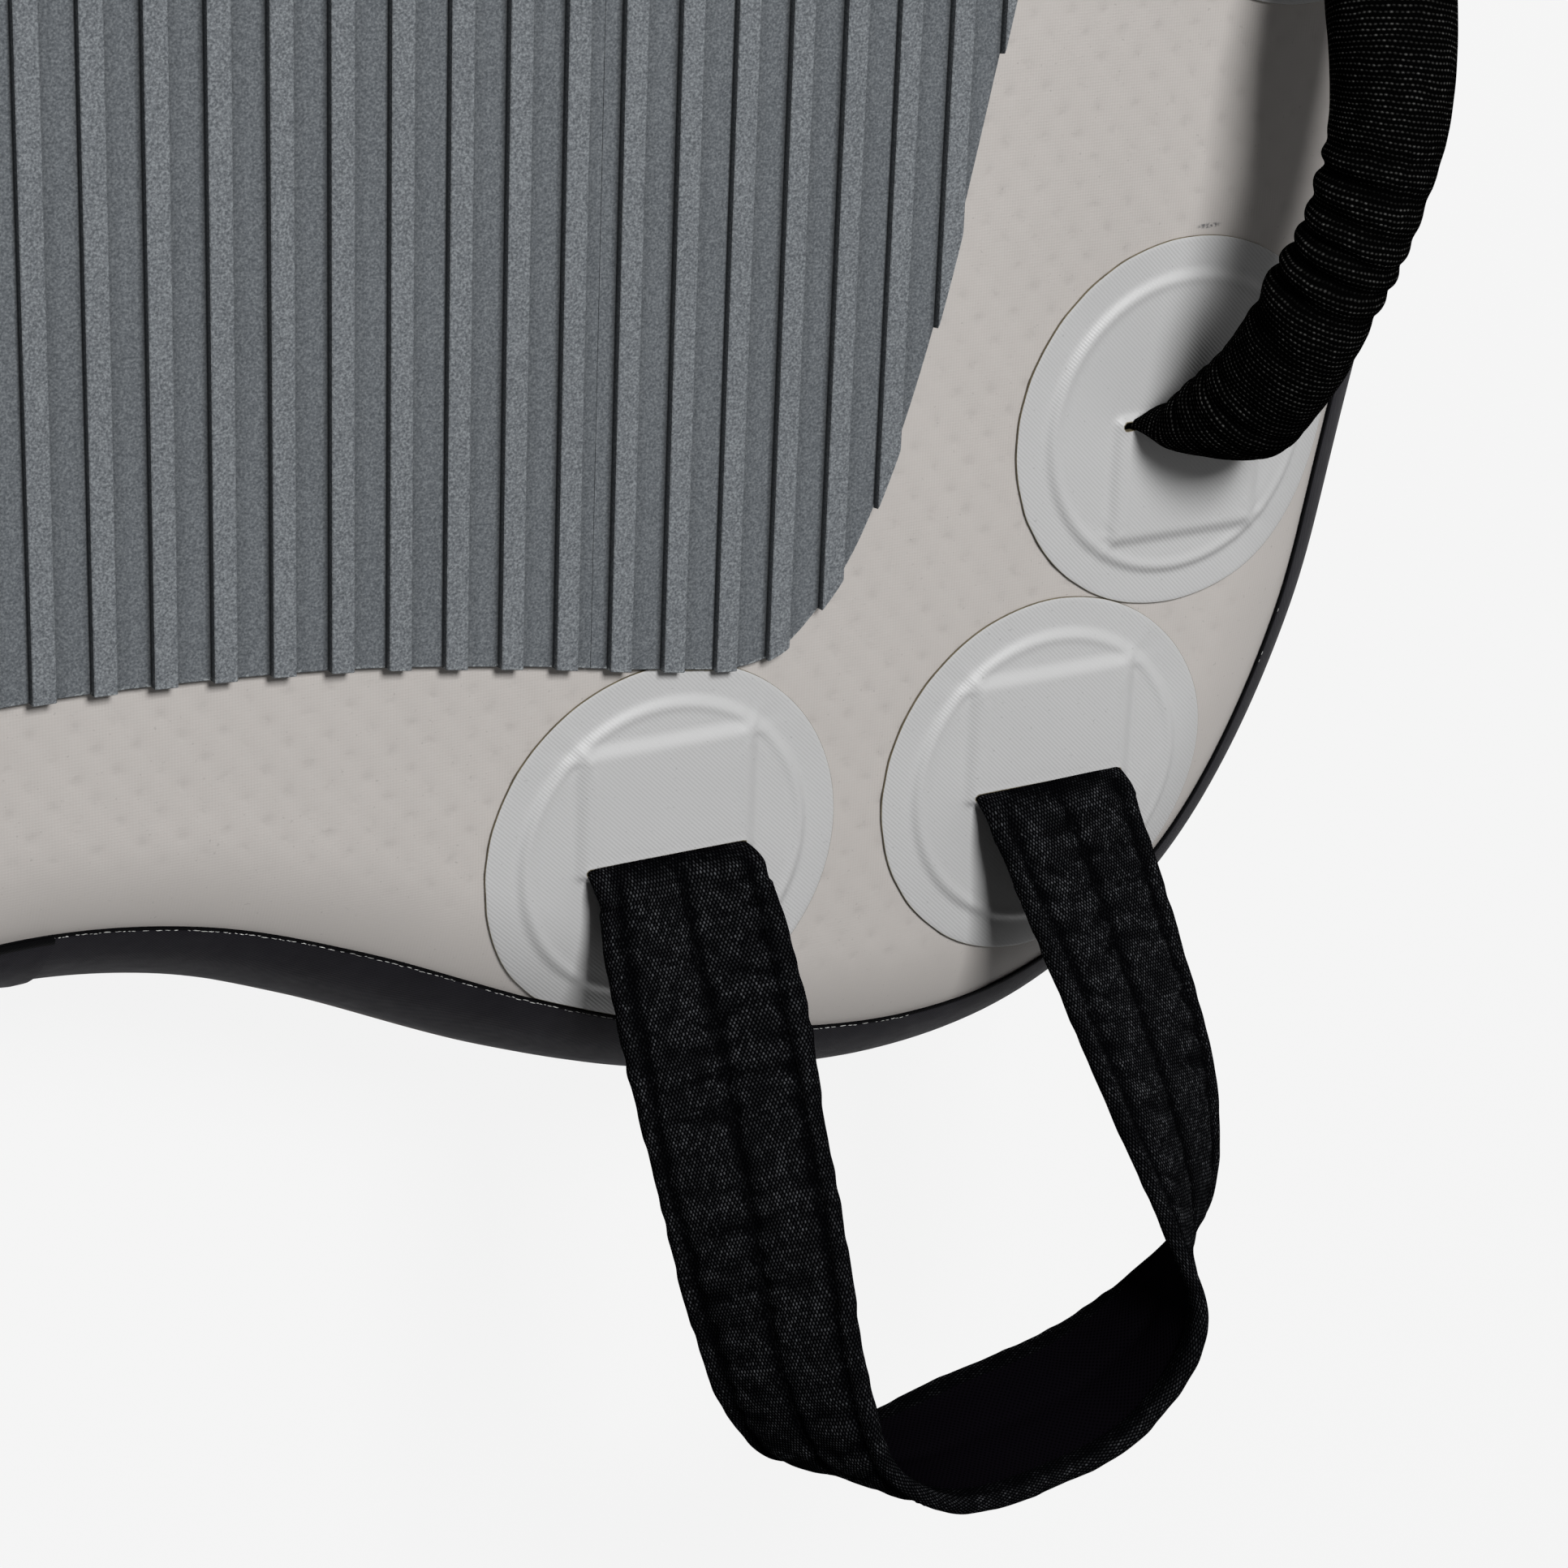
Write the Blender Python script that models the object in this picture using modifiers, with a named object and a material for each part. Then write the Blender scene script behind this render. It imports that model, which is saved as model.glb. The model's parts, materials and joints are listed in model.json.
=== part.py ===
"""Inflatable rescue sled that is towed behind a personal watercraft.

A drop-stitch hull with a taped rail carries a ribbed foam pad, two padded tail loops, four tube handles, two
D-rings and an inflation valve. Metres, +Z up, +Y towards the bow, +X to starboard; the origin is underneath.
"""

import math

import bmesh
import bpy
import numpy as np
from mathutils import Matrix, Vector

# Clearance between pieces that touch
GAP = 0.0003
# Edges that turn by more than this stay sharp
SHARP_ANGLE = math.radians(35)

# Hull
HULL_THICKNESS = 0.120
SKIN = 0.0012
SEAM_ANGLE = math.radians(30)
SKIN_LAP = math.radians(6)
WALL_SETBACK = math.radians(7)
TAPE = 0.0009
OVERLAP_ENDS = (-0.060, 0.009)
OVERLAP_STATIONS = 5
ROCKER_START = 0.42
ROCKER_RISE = 0.09
ROCKER_ROWS = 5
OUTLINE_STEPS = 56
TURN_WEIGHT = 0.25
# The seam between deck and tape, starboard half, from the tail notch round the lobe to the bow
SEAM_HALF = [
    (0.000, -0.788),
    (0.052, -0.7945),
    (0.102, -0.8125),
    (0.166, -0.8425),
    (0.222, -0.8615),
    (0.286, -0.870),
    (0.338, -0.8595),
    (0.382, -0.8245),
    (0.4135, -0.763),
    (0.4305, -0.685),
    (0.466, -0.495),
    (0.492, -0.300),
    (0.500, -0.080),
    (0.492, 0.200),
    (0.468, 0.480),
    (0.432, 0.700),
    (0.375, 0.812),
    (0.290, 0.850),
    (0.150, 0.842),
    (0.000, 0.828),
]

# Drop-stitch fabric
CLOTH = 0.0006
CLOTH_INSET = 0.004
THREAD_SPACING = 0.19
THREAD_BUNDLE = 0.005

# Deck pad
PAD_BASE = 0.003
RIB_HEIGHT = 0.0025
RIB_WIDTH = 0.0067
RIB_PITCH = 0.01735
# The ribs and joints lie this far to starboard of the hull's middle
RIB_SHIFT = 0.0025
JOINT_RIBS = 9.5
PAD_STEPS = 44
PAD_HALF = [
    (0.000, -0.7142),
    (0.080, -0.7184),
    (0.140, -0.7266),
    (0.190, -0.7356),
    (0.221, -0.7386),
    (0.240, -0.7268),
    (0.258, -0.6990),
    (0.277, -0.6420),
    (0.2972, -0.5486),
    (0.320, -0.430),
    (0.337, -0.280),
    (0.342, -0.080),
    (0.332, 0.130),
    (0.306, 0.275),
    (0.262, 0.330),
    (0.180, 0.345),
    (0.000, 0.350),
]

# Round patches and the webbing tails under them
PATCH_RADIUS = 0.058
PATCH_RAISED_RADIUS = 0.0475
PATCH_SHEET = 0.0009
PATCH_RAISE = 0.0008
PATCH_SEGMENTS = 24
PATCH_LIFT = GAP
WEBBING_WIDTH = 0.050
WEBBING = 0.0019
TAIL_LENGTH = 0.034
PATCH_TRIM = 0.0012
SLIT_SETBACK = 0.002
STUB_RISE = 0.0045

# Tail loops
# Its roots stand this far inboard and forward of the tip of the hull's tail lobe
LOOP_INBOARD = 0.0257
LOOP_INSET = 0.0745
LOOP_ROOT_RADIUS = 0.0030
STRAP_WIDTH = 0.0525
COVER = 0.0008
LINER = 0.0021
LOOP_STEPS = 27
COVER_SETBACK = 0.27
LOOP_HALF_SPAN = 0.0665
# Between its roots: offset from its middle, reach aft, rise above the deck; direction across the strap
LOOP_ROUTE = [
    ((-0.0685, 0.0400, 0.0320), (0.94, 0.17, 0.30)),
    ((-0.0715, 0.0790, 0.0610), (0.80, 0.30, 0.52)),
    ((-0.0725, 0.1070, 0.0770), (0.65, 0.34, 0.68)),
    ((-0.0685, 0.1380, 0.0880), (0.49, 0.32, 0.81)),
    ((-0.0545, 0.1630, 0.0920), (0.25, 0.30, 0.92)),
    ((-0.0255, 0.1730, 0.0890), (0.10, -0.06, 0.99)),
    ((0.0085, 0.1720, 0.0860), (0.05, -0.25, 0.97)),
    ((0.0395, 0.1630, 0.0870), (0.05, -0.16, 0.99)),
    ((0.0625, 0.1420, 0.0870), (-0.11, 0.17, 0.98)),
    ((0.0735, 0.1130, 0.0800), (-0.72, 0.35, 0.60)),
    ((0.0755, 0.0830, 0.0650), (-0.93, 0.17, 0.33)),
    ((0.0730, 0.0450, 0.0370), (-0.98, 0.05, 0.15)),
]

# Tube handles
HANDLE_INSET = 0.0635
HANDLE_ROOTS = {"aft": (-0.6825, -0.5035), "forward": (0.030, 0.209)}
ARCH_HEIGHT = 0.061
ARCH_POWER = 1.5
ARCH_STEP = 0.01
SLEEVE_RADIUS = 0.0175
SLEEVE = 0.0009
CORE_HALF_WIDTH = 0.010
CORE_HALF_THICKNESS = 0.0024
MOUTH_HALF_WIDTH = 0.020
MOUTH_HALF_THICKNESS = 0.0075
SLEEVE_START = 0.063
GATHER_STEPS = 2
FOAM_STEPS = 7
TUBE_SIDES = 8
OVAL_BOXINESS = 0.55
FOAM_START = 0.20
FOAM_BORE_CLEARANCE = 0.00045

# D-rings
RING_PLACE = (0.300, 0.700)
RING_WIRE = 0.0025
RING_HALF_WIDTH = 0.0275
RING_REACH = 0.036
KEEPER_HALF_WIDTH = 0.019
KEEPER_HALF_LENGTH = 0.0085
RING_AXIS_RISE = 0.0062
RING_BORE_CLEARANCE = 0.0004
KEEPER_WALL = 0.0018
KEEPER_ROUND = 0.004
RING_CORNER = 0.010

# Inflation valve
VALVE_Y = 0.395
FLANGE_RADIUS = 0.027
FLANGE = 0.0030
FLANGE_CHAMFER = 0.001
BARREL_RADIUS = 0.0165
BARREL_DEPTH = 0.030
BARREL_WALL = 0.0022
SEAT_RADIUS = 0.0105
SEAT_DEPTH = 0.0045
SEAT_LIP = 0.0015
FLOOR = 0.0025
PORT_RADIUS = 0.0022
STEM_RADIUS = 0.0025
STEM_CLEARANCE = 0.0003
POPPET_RADIUS = 0.0128
POPPET_HEAD = 0.0025
POPPET_TRAVEL = 0.006
BUTTON_RADIUS = 0.005
SPRING_RADIUS = 0.0060
SPRING_WIRE = 0.0005
SPRING_TURNS = 4
SPRING_SIDES = 8
CAP_RADIUS = 0.0225
CAP_WALL = 0.0020
CAP_HEIGHT = 0.0085
CAP_BAR = 0.004
TURN_STEPS = 20

# Values worked out from the above
RAIL_RADIUS = HULL_THICKNESS / 2
FLAT_INSET = RAIL_RADIUS * math.sin(SEAM_ANGLE)
SWAY_RISE = STUB_RISE + GAP + CORE_HALF_WIDTH
LOOP_AXIS_RISE = STUB_RISE + GAP + LOOP_ROOT_RADIUS
BOW_Y = max(y for _, y in SEAM_HALF)
LOBE_TIP = min(SEAM_HALF, key=lambda point: point[1])
LOOP_MIDDLE = LOBE_TIP[0] - LOOP_INBOARD
LOOP_ROOT_Y = LOBE_TIP[1] + LOOP_INSET
PAD_JOINT = JOINT_RIBS * RIB_PITCH
PATCH_TOP = PATCH_LIFT + PATCH_SHEET + PATCH_RAISE
PORT_AND_STARBOARD = {"port": -1, "starboard": 1}


def clear_scene():
    for item in list(bpy.data.objects):
        bpy.data.objects.remove(item, do_unlink=True)


def collection(name):
    found = bpy.data.collections.new(name)
    bpy.context.scene.collection.children.link(found)
    return found


def material(name, colour, roughness, metallic=0.0):
    made = bpy.data.materials.new(name)
    made.use_nodes = True
    shader = made.node_tree.nodes["Principled BSDF"]
    shader.inputs["Base Color"].default_value = (*colour, 1.0)
    shader.inputs["Roughness"].default_value = roughness
    shader.inputs["Metallic"].default_value = metallic
    made.diffuse_color = (*colour, 1.0)
    return made


clear_scene()
PARTS = collection("rescue_sled")
CUTTERS = collection("cutters")
DECK_GREY = material("deck_grey", (0.49, 0.46, 0.45), 0.60)
BOTTOM_GREY = material("bottom_grey", (0.20, 0.20, 0.21), 0.55)
RAIL_CHARCOAL = material("rail_charcoal", (0.026, 0.025, 0.031), 0.45)
CLOTH_WHITE = material("cloth_white", (0.70, 0.70, 0.68), 0.85)
PAD_GREY = material("pad_grey", (0.16, 0.18, 0.19), 0.90)
PATCH_GREY = material("patch_grey", (0.48, 0.49, 0.49), 0.55)
BLACK_WEAVE = material("black_weave", (0.010, 0.010, 0.011), 0.75)
BLACK_SOFT = material("black_soft", (0.008, 0.006, 0.010), 0.95)
FOAM_GREY = material("foam_grey", (0.12, 0.12, 0.12), 0.95)
STEEL = material("steel", (0.60, 0.60, 0.60), 0.28, 1.0)
VALVE_GREY = material("valve_grey", (0.10, 0.10, 0.11), 0.45)
POPPET_BLACK = material("poppet_black", (0.02, 0.02, 0.02), 0.5)


# Curves in the plane


def through(points, steps):
    """`steps` points at equal distances along a smooth curve through the given points."""
    given = np.array(points, float)
    padded = np.vstack([2 * given[0] - given[1], given, 2 * given[-1] - given[-2]])
    fine = []
    for k in range(len(given) - 1):
        a, b, c, d = padded[k : k + 4]
        for t in np.linspace(0, 1, 24, endpoint=False):
            bend = 2 * b + (c - a) * t + (2 * a - 5 * b + 4 * c - d) * t**2 + (3 * b - a - 3 * c + d) * t**3
            fine.append(bend / 2)
    fine.append(given[-1])
    fine = np.array(fine)
    along = np.concatenate([[0], np.cumsum(np.linalg.norm(np.diff(fine, axis=0), axis=1))])
    places = np.linspace(0, along[-1], steps)
    return np.stack([np.interp(places, along, axis) for axis in fine.T], axis=1)


def mirrored_outline(half, steps):
    """A closed outline, anticlockwise from the tail, from its starboard half with ends on the centre line.

    Its points stand closer together where it turns.
    """
    mirror = [(-x, y) for x, y in half]
    fine = through([mirror[1], *half, mirror[-2]], 40 * len(half))
    fine = fine[fine[:, 0] >= 0]
    runs = np.diff(fine, axis=0)
    turns = np.unwrap(np.arctan2(runs[:, 1], runs[:, 0]))
    turned_by = np.concatenate([[0], np.abs(np.diff(turns))])
    along = np.concatenate([[0], np.cumsum(np.linalg.norm(runs, axis=1) + TURN_WEIGHT * turned_by)])
    places = np.linspace(0, along[-1], steps // 2 + 1)
    right = np.stack([np.interp(places, along, axis) for axis in fine.T], axis=1)
    right[0, 0] = 0
    right[-1, 0] = 0
    left = right[-2:0:-1] * [-1, 1]
    return np.vstack([right, left])


def outward(outline):
    """Unit normals of a closed anticlockwise outline."""
    run = np.roll(outline, -1, axis=0) - np.roll(outline, 1, axis=0)
    run /= np.linalg.norm(run, axis=1)[:, None]
    return np.stack([run[:, 1], -run[:, 0]], axis=1)


# The share of the half width that tells the hull's side from its tail and bow
SIDE_FROM = 0.76
SEAM = mirrored_outline(SEAM_HALF, OUTLINE_STEPS)
NORMALS = outward(SEAM)
FLAT = SEAM - NORMALS * FLAT_INSET


def inside(outline, x, y):
    within = False
    for (x0, y0), (x1, y1) in zip(outline, np.roll(outline, -1, axis=0)):
        if (y0 > y) != (y1 > y) and x < (x1 - x0) * (y - y0) / (y1 - y0) + x0:
            within = not within
    return within


def distance_to(outline, x, y):
    start = outline
    run = np.roll(outline, -1, axis=0) - start
    to_point = np.array([x, y]) - start
    share = np.clip((to_point * run).sum(axis=1) / (run**2).sum(axis=1), 0, 1)
    return float(np.linalg.norm(to_point - share[:, None] * run, axis=1).min())


ROWS = np.linspace(ROCKER_START, BOW_Y + RAIL_RADIUS, ROCKER_ROWS + 1)
ROW_LIFTS = ROCKER_RISE * np.linspace(0, 1, ROCKER_ROWS + 1) ** 2


def lift(y):
    """How far the rocker raises the hull at this distance along it: straight from row to row."""
    return float(np.interp(y, ROWS, ROW_LIFTS))


def deck_height(x, y):
    """Height of the deck's outer face: flat, bent up at the bow, and rolling off into the rail."""
    past = 0.0 if inside(FLAT, x, y) else distance_to(FLAT, x, y)
    return HULL_THICKNESS + lift(y) - RAIL_RADIUS + math.sqrt(RAIL_RADIUS**2 - past**2)


def seam_x(y):
    """Half width of the deck at this distance along the hull, between the tail lobe and the bow's corner."""
    side = SEAM[SEAM[:, 0] > SIDE_FROM * SEAM[:, 0].max()]
    order = np.argsort(side[:, 1])
    return float(np.interp(y, side[order, 1], side[order, 0]))


# Meshes


def mesh_of(name, bm):
    """The mesh as data, with its faces out."""
    bmesh.ops.recalc_face_normals(bm, faces=bm.faces)
    mesh = bpy.data.meshes.new(name)
    bm.to_mesh(mesh)
    bm.free()
    return mesh


def place(name, bm, finish):
    mesh = mesh_of(name, bm)
    mesh.shade_smooth()
    mesh.set_sharp_from_angle(angle=SHARP_ANGLE)
    mesh.materials.append(finish)
    made = bpy.data.objects.new(name, mesh)
    PARTS.objects.link(made)
    return made


def cutter(name, bm):
    made = bpy.data.objects.new(name, mesh_of(name, bm))
    made.hide_render = True
    made.display_type = "WIRE"
    CUTTERS.objects.link(made)
    return made


def cut(piece, tool, operation="DIFFERENCE"):
    modifier = piece.modifiers.new(tool.name, "BOOLEAN")
    modifier.object = tool
    modifier.operation = operation


def set_pivot(piece, point):
    """Moves a piece's origin to a point on its joint's axis and leaves its shape where it is."""
    piece.data.transform(Matrix.Translation(-Vector(point)))
    piece.location = point


def loop_of(bm, points):
    return [bm.verts.new(point) for point in points]


def bridge(bm, first, second):
    count = len(first)
    for i in range(count):
        j = (i + 1) % count
        bm.faces.new((first[i], first[j], second[j], second[i]))


def bend(bm):
    """Bends a mesh up at the bow along the rocker's rows, after cutting it there."""
    for row in ROWS[:-1]:
        whole = [*bm.verts, *bm.edges, *bm.faces]
        bmesh.ops.bisect_plane(bm, geom=whole, plane_co=(0, row, 0), plane_no=(0, 1, 0))
    for vert in bm.verts:
        vert.co.z += lift(vert.co.y)
    bmesh.ops.triangulate(bm, faces=bm.faces)


def box(low, high):
    bm = bmesh.new()
    bmesh.ops.create_cube(bm, size=1.0)
    size = Vector(high) - Vector(low)
    middle = (Vector(high) + Vector(low)) / 2
    bmesh.ops.transform(bm, matrix=Matrix.Translation(middle) @ Matrix.Diagonal((*size, 1)), verts=bm.verts)
    return bm


def turned(name, profile, finish, centre):
    """A turned piece; the profile (radius, height) runs down its outer side and back up its inner side."""
    mesh = bpy.data.meshes.new(name)
    points = [(radius, 0, height) for radius, height in profile]
    edges = [(i, i + 1) for i in range(len(points) - 1)]
    if profile[0][0] > 0:
        edges.append((len(points) - 1, 0))
    mesh.from_pydata(points, edges, [])
    made = bpy.data.objects.new(name, mesh)
    made.location = centre
    screw = made.modifiers.new("turn", "SCREW")
    screw.steps = TURN_STEPS
    screw.render_steps = TURN_STEPS
    screw.use_merge_vertices = True
    screw.merge_threshold = 0.00001
    screw.use_smooth_shade = False
    mesh.materials.append(finish)
    PARTS.objects.link(made)
    return made


# Hull


def rail_loop(angle, radius=RAIL_RADIUS):
    """The closed line round the hull where its round side stands at this angle from straight up."""
    reach = radius * math.sin(angle)
    height = RAIL_RADIUS + radius * math.cos(angle)
    return [Vector((x, y, height)) for x, y in FLAT + NORMALS * reach]


def deck_sheet(bm, angles, rise=0.0):
    """The deck's outer face, as an open sheet that rolls off by these angles; returns its outermost line."""
    rings = [loop_of(bm, [point + Vector((0, 0, rise)) for point in rail_loop(angle)]) for angle in angles]
    bm.faces.new(rings[0])
    for first, second in zip(rings, rings[1:]):
        bridge(bm, second, first)
    return rings[-1]


def skin(name, finish, underside=False):
    """Deck or bottom: the sheet with a thickness; the bottom is the deck's sheet upside down."""
    bm = bmesh.new()
    deck_sheet(bm, (0.0, SEAM_ANGLE / 2, SEAM_ANGLE, SEAM_ANGLE + SKIN_LAP))
    if underside:
        flip = Matrix.Translation((0, 0, HULL_THICKNESS)) @ Matrix.Diagonal((1, 1, -1, 1))
        bmesh.ops.transform(bm, matrix=flip, verts=bm.verts)
        bmesh.ops.reverse_faces(bm, faces=bm.faces)
    bend(bm)
    mesh = bpy.data.meshes.new(name)
    bm.to_mesh(mesh)
    bm.free()
    made = bpy.data.objects.new(name, mesh)
    mesh.materials.append(finish)
    PARTS.objects.link(made)
    solid = made.modifiers.new("thickness", "SOLIDIFY")
    solid.thickness = SKIN
    solid.offset = -1
    return made


def deck_layer(name, low, high):
    """A cutter that holds the space between two heights over the deck, up to the tape's edge."""
    bm = bmesh.new()
    angles = (0.0, SEAM_ANGLE / 2, SEAM_ANGLE - GAP / RAIL_RADIUS)
    under = deck_sheet(bm, angles, low)
    over = deck_sheet(bm, angles, high)
    bridge(bm, under, over)
    bend(bm)
    return cutter(name, bm)


def rail_rows():
    """Angles of the rail's rows: the tape's edges, the lap under them and even steps between."""
    lap = SEAM_ANGLE + (SKIN_LAP + WALL_SETBACK) / 2
    middle = [math.radians(60), math.radians(90), math.radians(120)]
    return [SEAM_ANGLE, lap, *middle, math.pi - lap, math.pi - SEAM_ANGLE]


def rail_band(name, angles, outer_radius, thickness, finish):
    """A closed band round the hull's side, over these angles from straight up."""
    bm = bmesh.new()
    rings = [loop_of(bm, rail_loop(angle, outer_radius)) for angle in angles]
    rings += [loop_of(bm, rail_loop(angle, outer_radius - thickness)) for angle in angles[::-1]]
    for first, second in zip(rings, [*rings[1:], rings[0]]):
        bridge(bm, first, second)
    bend(bm)
    return place(name, bm, finish)


def tape_overlap():
    """The tape's overlapped end, on top of the tape in the tail notch."""
    stations = np.linspace(OVERLAP_ENDS[0], OVERLAP_ENDS[1], OVERLAP_STATIONS)
    tail = np.vstack([SEAM[-3:], SEAM[:4]])
    tail_normals = np.vstack([NORMALS[-3:], NORMALS[:4]])
    inner_radius = RAIL_RADIUS + GAP + TAPE + GAP
    angles = rail_rows()
    profile = [(angle, inner_radius + TAPE) for angle in angles]
    profile += [(angle, inner_radius) for angle in angles[::-1]]
    sections = []
    for x in stations:
        y = np.interp(x, tail[:, 0], tail[:, 1])
        normal = np.array([np.interp(x, tail[:, 0], tail_normals[:, k]) for k in range(2)])
        flat = np.array([x, y]) - normal * FLAT_INSET
        section = []
        for angle, radius in profile:
            side = flat + normal * radius * math.sin(angle)
            section.append((side[0], side[1], RAIL_RADIUS + radius * math.cos(angle)))
        sections.append(section)
    bm = bmesh.new()
    loops = [loop_of(bm, section) for section in sections]
    for first, second in zip(loops, loops[1:]):
        bridge(bm, first, second)
    bm.faces.new(loops[0])
    bm.faces.new(loops[-1])
    return place("rail_tape_overlap", bm, RAIL_CHARCOAL)


def cloth_sheet(bottom):
    bm = bmesh.new()
    line = FLAT - NORMALS * CLOTH_INSET
    lower = loop_of(bm, [(x, y, bottom) for x, y in line])
    upper = loop_of(bm, [(x, y, bottom + CLOTH) for x, y in line])
    bridge(bm, lower, upper)
    bm.faces.new(lower)
    bm.faces.new(upper)
    bend(bm)
    return bm


def drop_stitch_fabric():
    """Two base cloths held parallel by threads, which are grouped here into spaced bundles."""
    under = SKIN + GAP
    fabric = place("drop_stitch_fabric", cloth_sheet(under), CLOTH_WHITE)
    upper = cutter("upper_cloth", cloth_sheet(HULL_THICKNESS - under - CLOTH))
    cut(fabric, upper, "UNION")
    bundles = bmesh.new()
    margin = CLOTH_INSET + THREAD_BUNDLE * 2
    rows = int(np.abs(FLAT).max() / THREAD_SPACING) + 1
    for i in range(-rows, rows + 1):
        for j in range(-rows, rows + 1):
            x = (i + 0.5 + 0.5 * (j % 2)) * THREAD_SPACING
            y = j * THREAD_SPACING
            if not inside(FLAT, x, y) or distance_to(FLAT, x, y) < margin:
                continue
            size = Matrix.Diagonal((THREAD_BUNDLE, THREAD_BUNDLE, HULL_THICKNESS - 2 * under - CLOTH, 1))
            move = Matrix.Translation((x, y, HULL_THICKNESS / 2))
            bmesh.ops.create_cube(bundles, size=1.0, matrix=move @ size)
    for vert in bundles.verts:
        vert.co.z += lift(vert.co.y)
    cut(fabric, cutter("thread_bundles", bundles), "UNION")


# Deck pad


def pad_sheet(name, low_x, high_x):
    """One foam sheet: its outline, cut to its strip of the deck, with grooves between the ribs."""
    outline = mirrored_outline(PAD_HALF, PAD_STEPS)
    base = HULL_THICKNESS + GAP
    bm = bmesh.new()
    lower = loop_of(bm, [(x, y, base) for x, y in outline])
    upper = loop_of(bm, [(x, y, base + PAD_BASE + RIB_HEIGHT) for x, y in outline])
    bridge(bm, lower, upper)
    bm.faces.new(lower)
    bm.faces.new(upper)
    for x, side in ((low_x, -1), (high_x, 1)):
        if x is None:
            continue
        whole = [*bm.verts, *bm.edges, *bm.faces]
        bmesh.ops.bisect_plane(bm, geom=whole, plane_co=(x, 0, 0), plane_no=(side, 0, 0), clear_outer=True)
        open_edges = [edge for edge in bm.edges if len(edge.link_faces) == 1]
        bmesh.ops.holes_fill(bm, edges=open_edges)
    sheet = place(name, bm, PAD_GREY)
    cut(sheet, GROOVES)


def groove_cutter():
    bm = bmesh.new()
    floor = HULL_THICKNESS + GAP + PAD_BASE
    length = 2 * np.abs(PAD_HALF).max() + RIB_PITCH
    count = int(max(x for x, _ in PAD_HALF) / RIB_PITCH) + 2
    for k in range(-count, count):
        middle = (k + 0.5) * RIB_PITCH + RIB_SHIFT
        size = Matrix.Diagonal((RIB_PITCH - RIB_WIDTH, length, RIB_HEIGHT * 2, 1))
        move = Matrix.Translation((middle, 0, floor + RIB_HEIGHT))
        bmesh.ops.create_cube(bm, size=1.0, matrix=move @ size)
    return cutter("grooves", bm)


def pad_clearance():
    """The ground under the pad and a little aft of it, where no patch may lie."""
    outline = mirrored_outline(PAD_HALF, PAD_STEPS) - [0, PATCH_TRIM]
    bm = bmesh.new()
    lower = loop_of(bm, [(x, y, 0) for x, y in outline])
    upper = loop_of(bm, [(x, y, 2 * HULL_THICKNESS) for x, y in outline])
    bridge(bm, lower, upper)
    bm.faces.new(lower)
    bm.faces.new(upper)
    return cutter("pad_clearance", bm)


def deck_pad():
    half_gap = GAP / 2
    port_joint, starboard_joint = RIB_SHIFT - PAD_JOINT, RIB_SHIFT + PAD_JOINT
    pad_sheet("deck_pad_centre", port_joint + half_gap, starboard_joint - half_gap)
    pad_sheet("deck_pad_starboard", starboard_joint + half_gap, None)
    pad_sheet("deck_pad_port", None, port_joint - half_gap)


# Patches and webbing tails


def disc_cutter(name, centre, radius, layer):
    """A round piece of a layer of the deck."""
    disc = cutter(name, column(centre, radius))
    cut(disc, layer, "INTERSECT")
    return disc


def column(centre, radius):
    """A tall round prism that stands through the deck."""
    bm = bmesh.new()
    turn = Matrix.Rotation(math.pi / PATCH_SEGMENTS, 4, "Z")
    bmesh.ops.create_cone(
        bm,
        cap_ends=True,
        segments=PATCH_SEGMENTS,
        radius1=radius,
        radius2=radius,
        depth=4 * HULL_THICKNESS,
        matrix=Matrix.Translation((*centre, HULL_THICKNESS)) @ turn,
    )
    return bm


def patch(name, centre, beside_pad=False):
    """A round patch that follows the deck, raised over its middle, and cut back where the pad begins."""
    disc = place(name, column(centre, PATCH_RADIUS), PATCH_GREY)
    cut(disc, SHEET_LAYER, "INTERSECT")
    cut(disc, disc_cutter(name + "_raised", centre, PATCH_RAISED_RADIUS, RAISED_LAYER), "UNION")
    if beside_pad:
        cut(disc, PAD_CLEARANCE)
    return disc


def strap_root(name, slit, tail_side, beside_pad=False):
    """A slit patch with the webbing's tail under it; `tail_side` is 1 where the tail runs forward, -1 aft."""
    cx, slit_y = slit
    centre = (cx, slit_y + tail_side * SLIT_SETBACK)
    deck = deck_height(*centre)
    half = WEBBING_WIDTH / 2
    low, top = deck + PATCH_LIFT, deck + PATCH_LIFT + WEBBING
    half_stub = WEBBING / 2
    tail_start = slit_y - tail_side * half_stub
    tail_end = slit_y + tail_side * TAIL_LENGTH
    tail = place(name + "_webbing_tail", box_between(cx, half, tail_start, tail_end, low, top), BLACK_WEAVE)
    stub = box_between(cx, half, slit_y - half_stub, slit_y + half_stub, low, deck + STUB_RISE)
    cut(tail, cutter(name + "_stub", stub), "UNION")
    disc = patch(name + "_patch", centre, beside_pad)
    cover = half + PATCH_SHEET
    bulge_end = tail_end + tail_side * PATCH_SHEET
    bulge_low = deck + PATCH_LIFT + PATCH_SHEET / 2
    bulge_top = top + GAP + PATCH_SHEET
    bulge = box_between(cx, cover, slit_y, bulge_end, bulge_low, bulge_top)
    cut(disc, cutter(name + "_bulge", bulge), "UNION")
    room = half + GAP
    half_slit = half_stub + GAP
    below = deck - PATCH_LIFT
    pocket_start = slit_y - tail_side * half_slit
    pocket_end = tail_end + tail_side * GAP
    pocket = box_between(cx, room, pocket_start, pocket_end, below, top + GAP)
    cut(disc, cutter(name + "_pocket", pocket))
    opening = box_between(cx, room, slit_y - half_slit, slit_y + half_slit, below, bulge_top + GAP)
    cut(disc, cutter(name + "_slit", opening))


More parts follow.
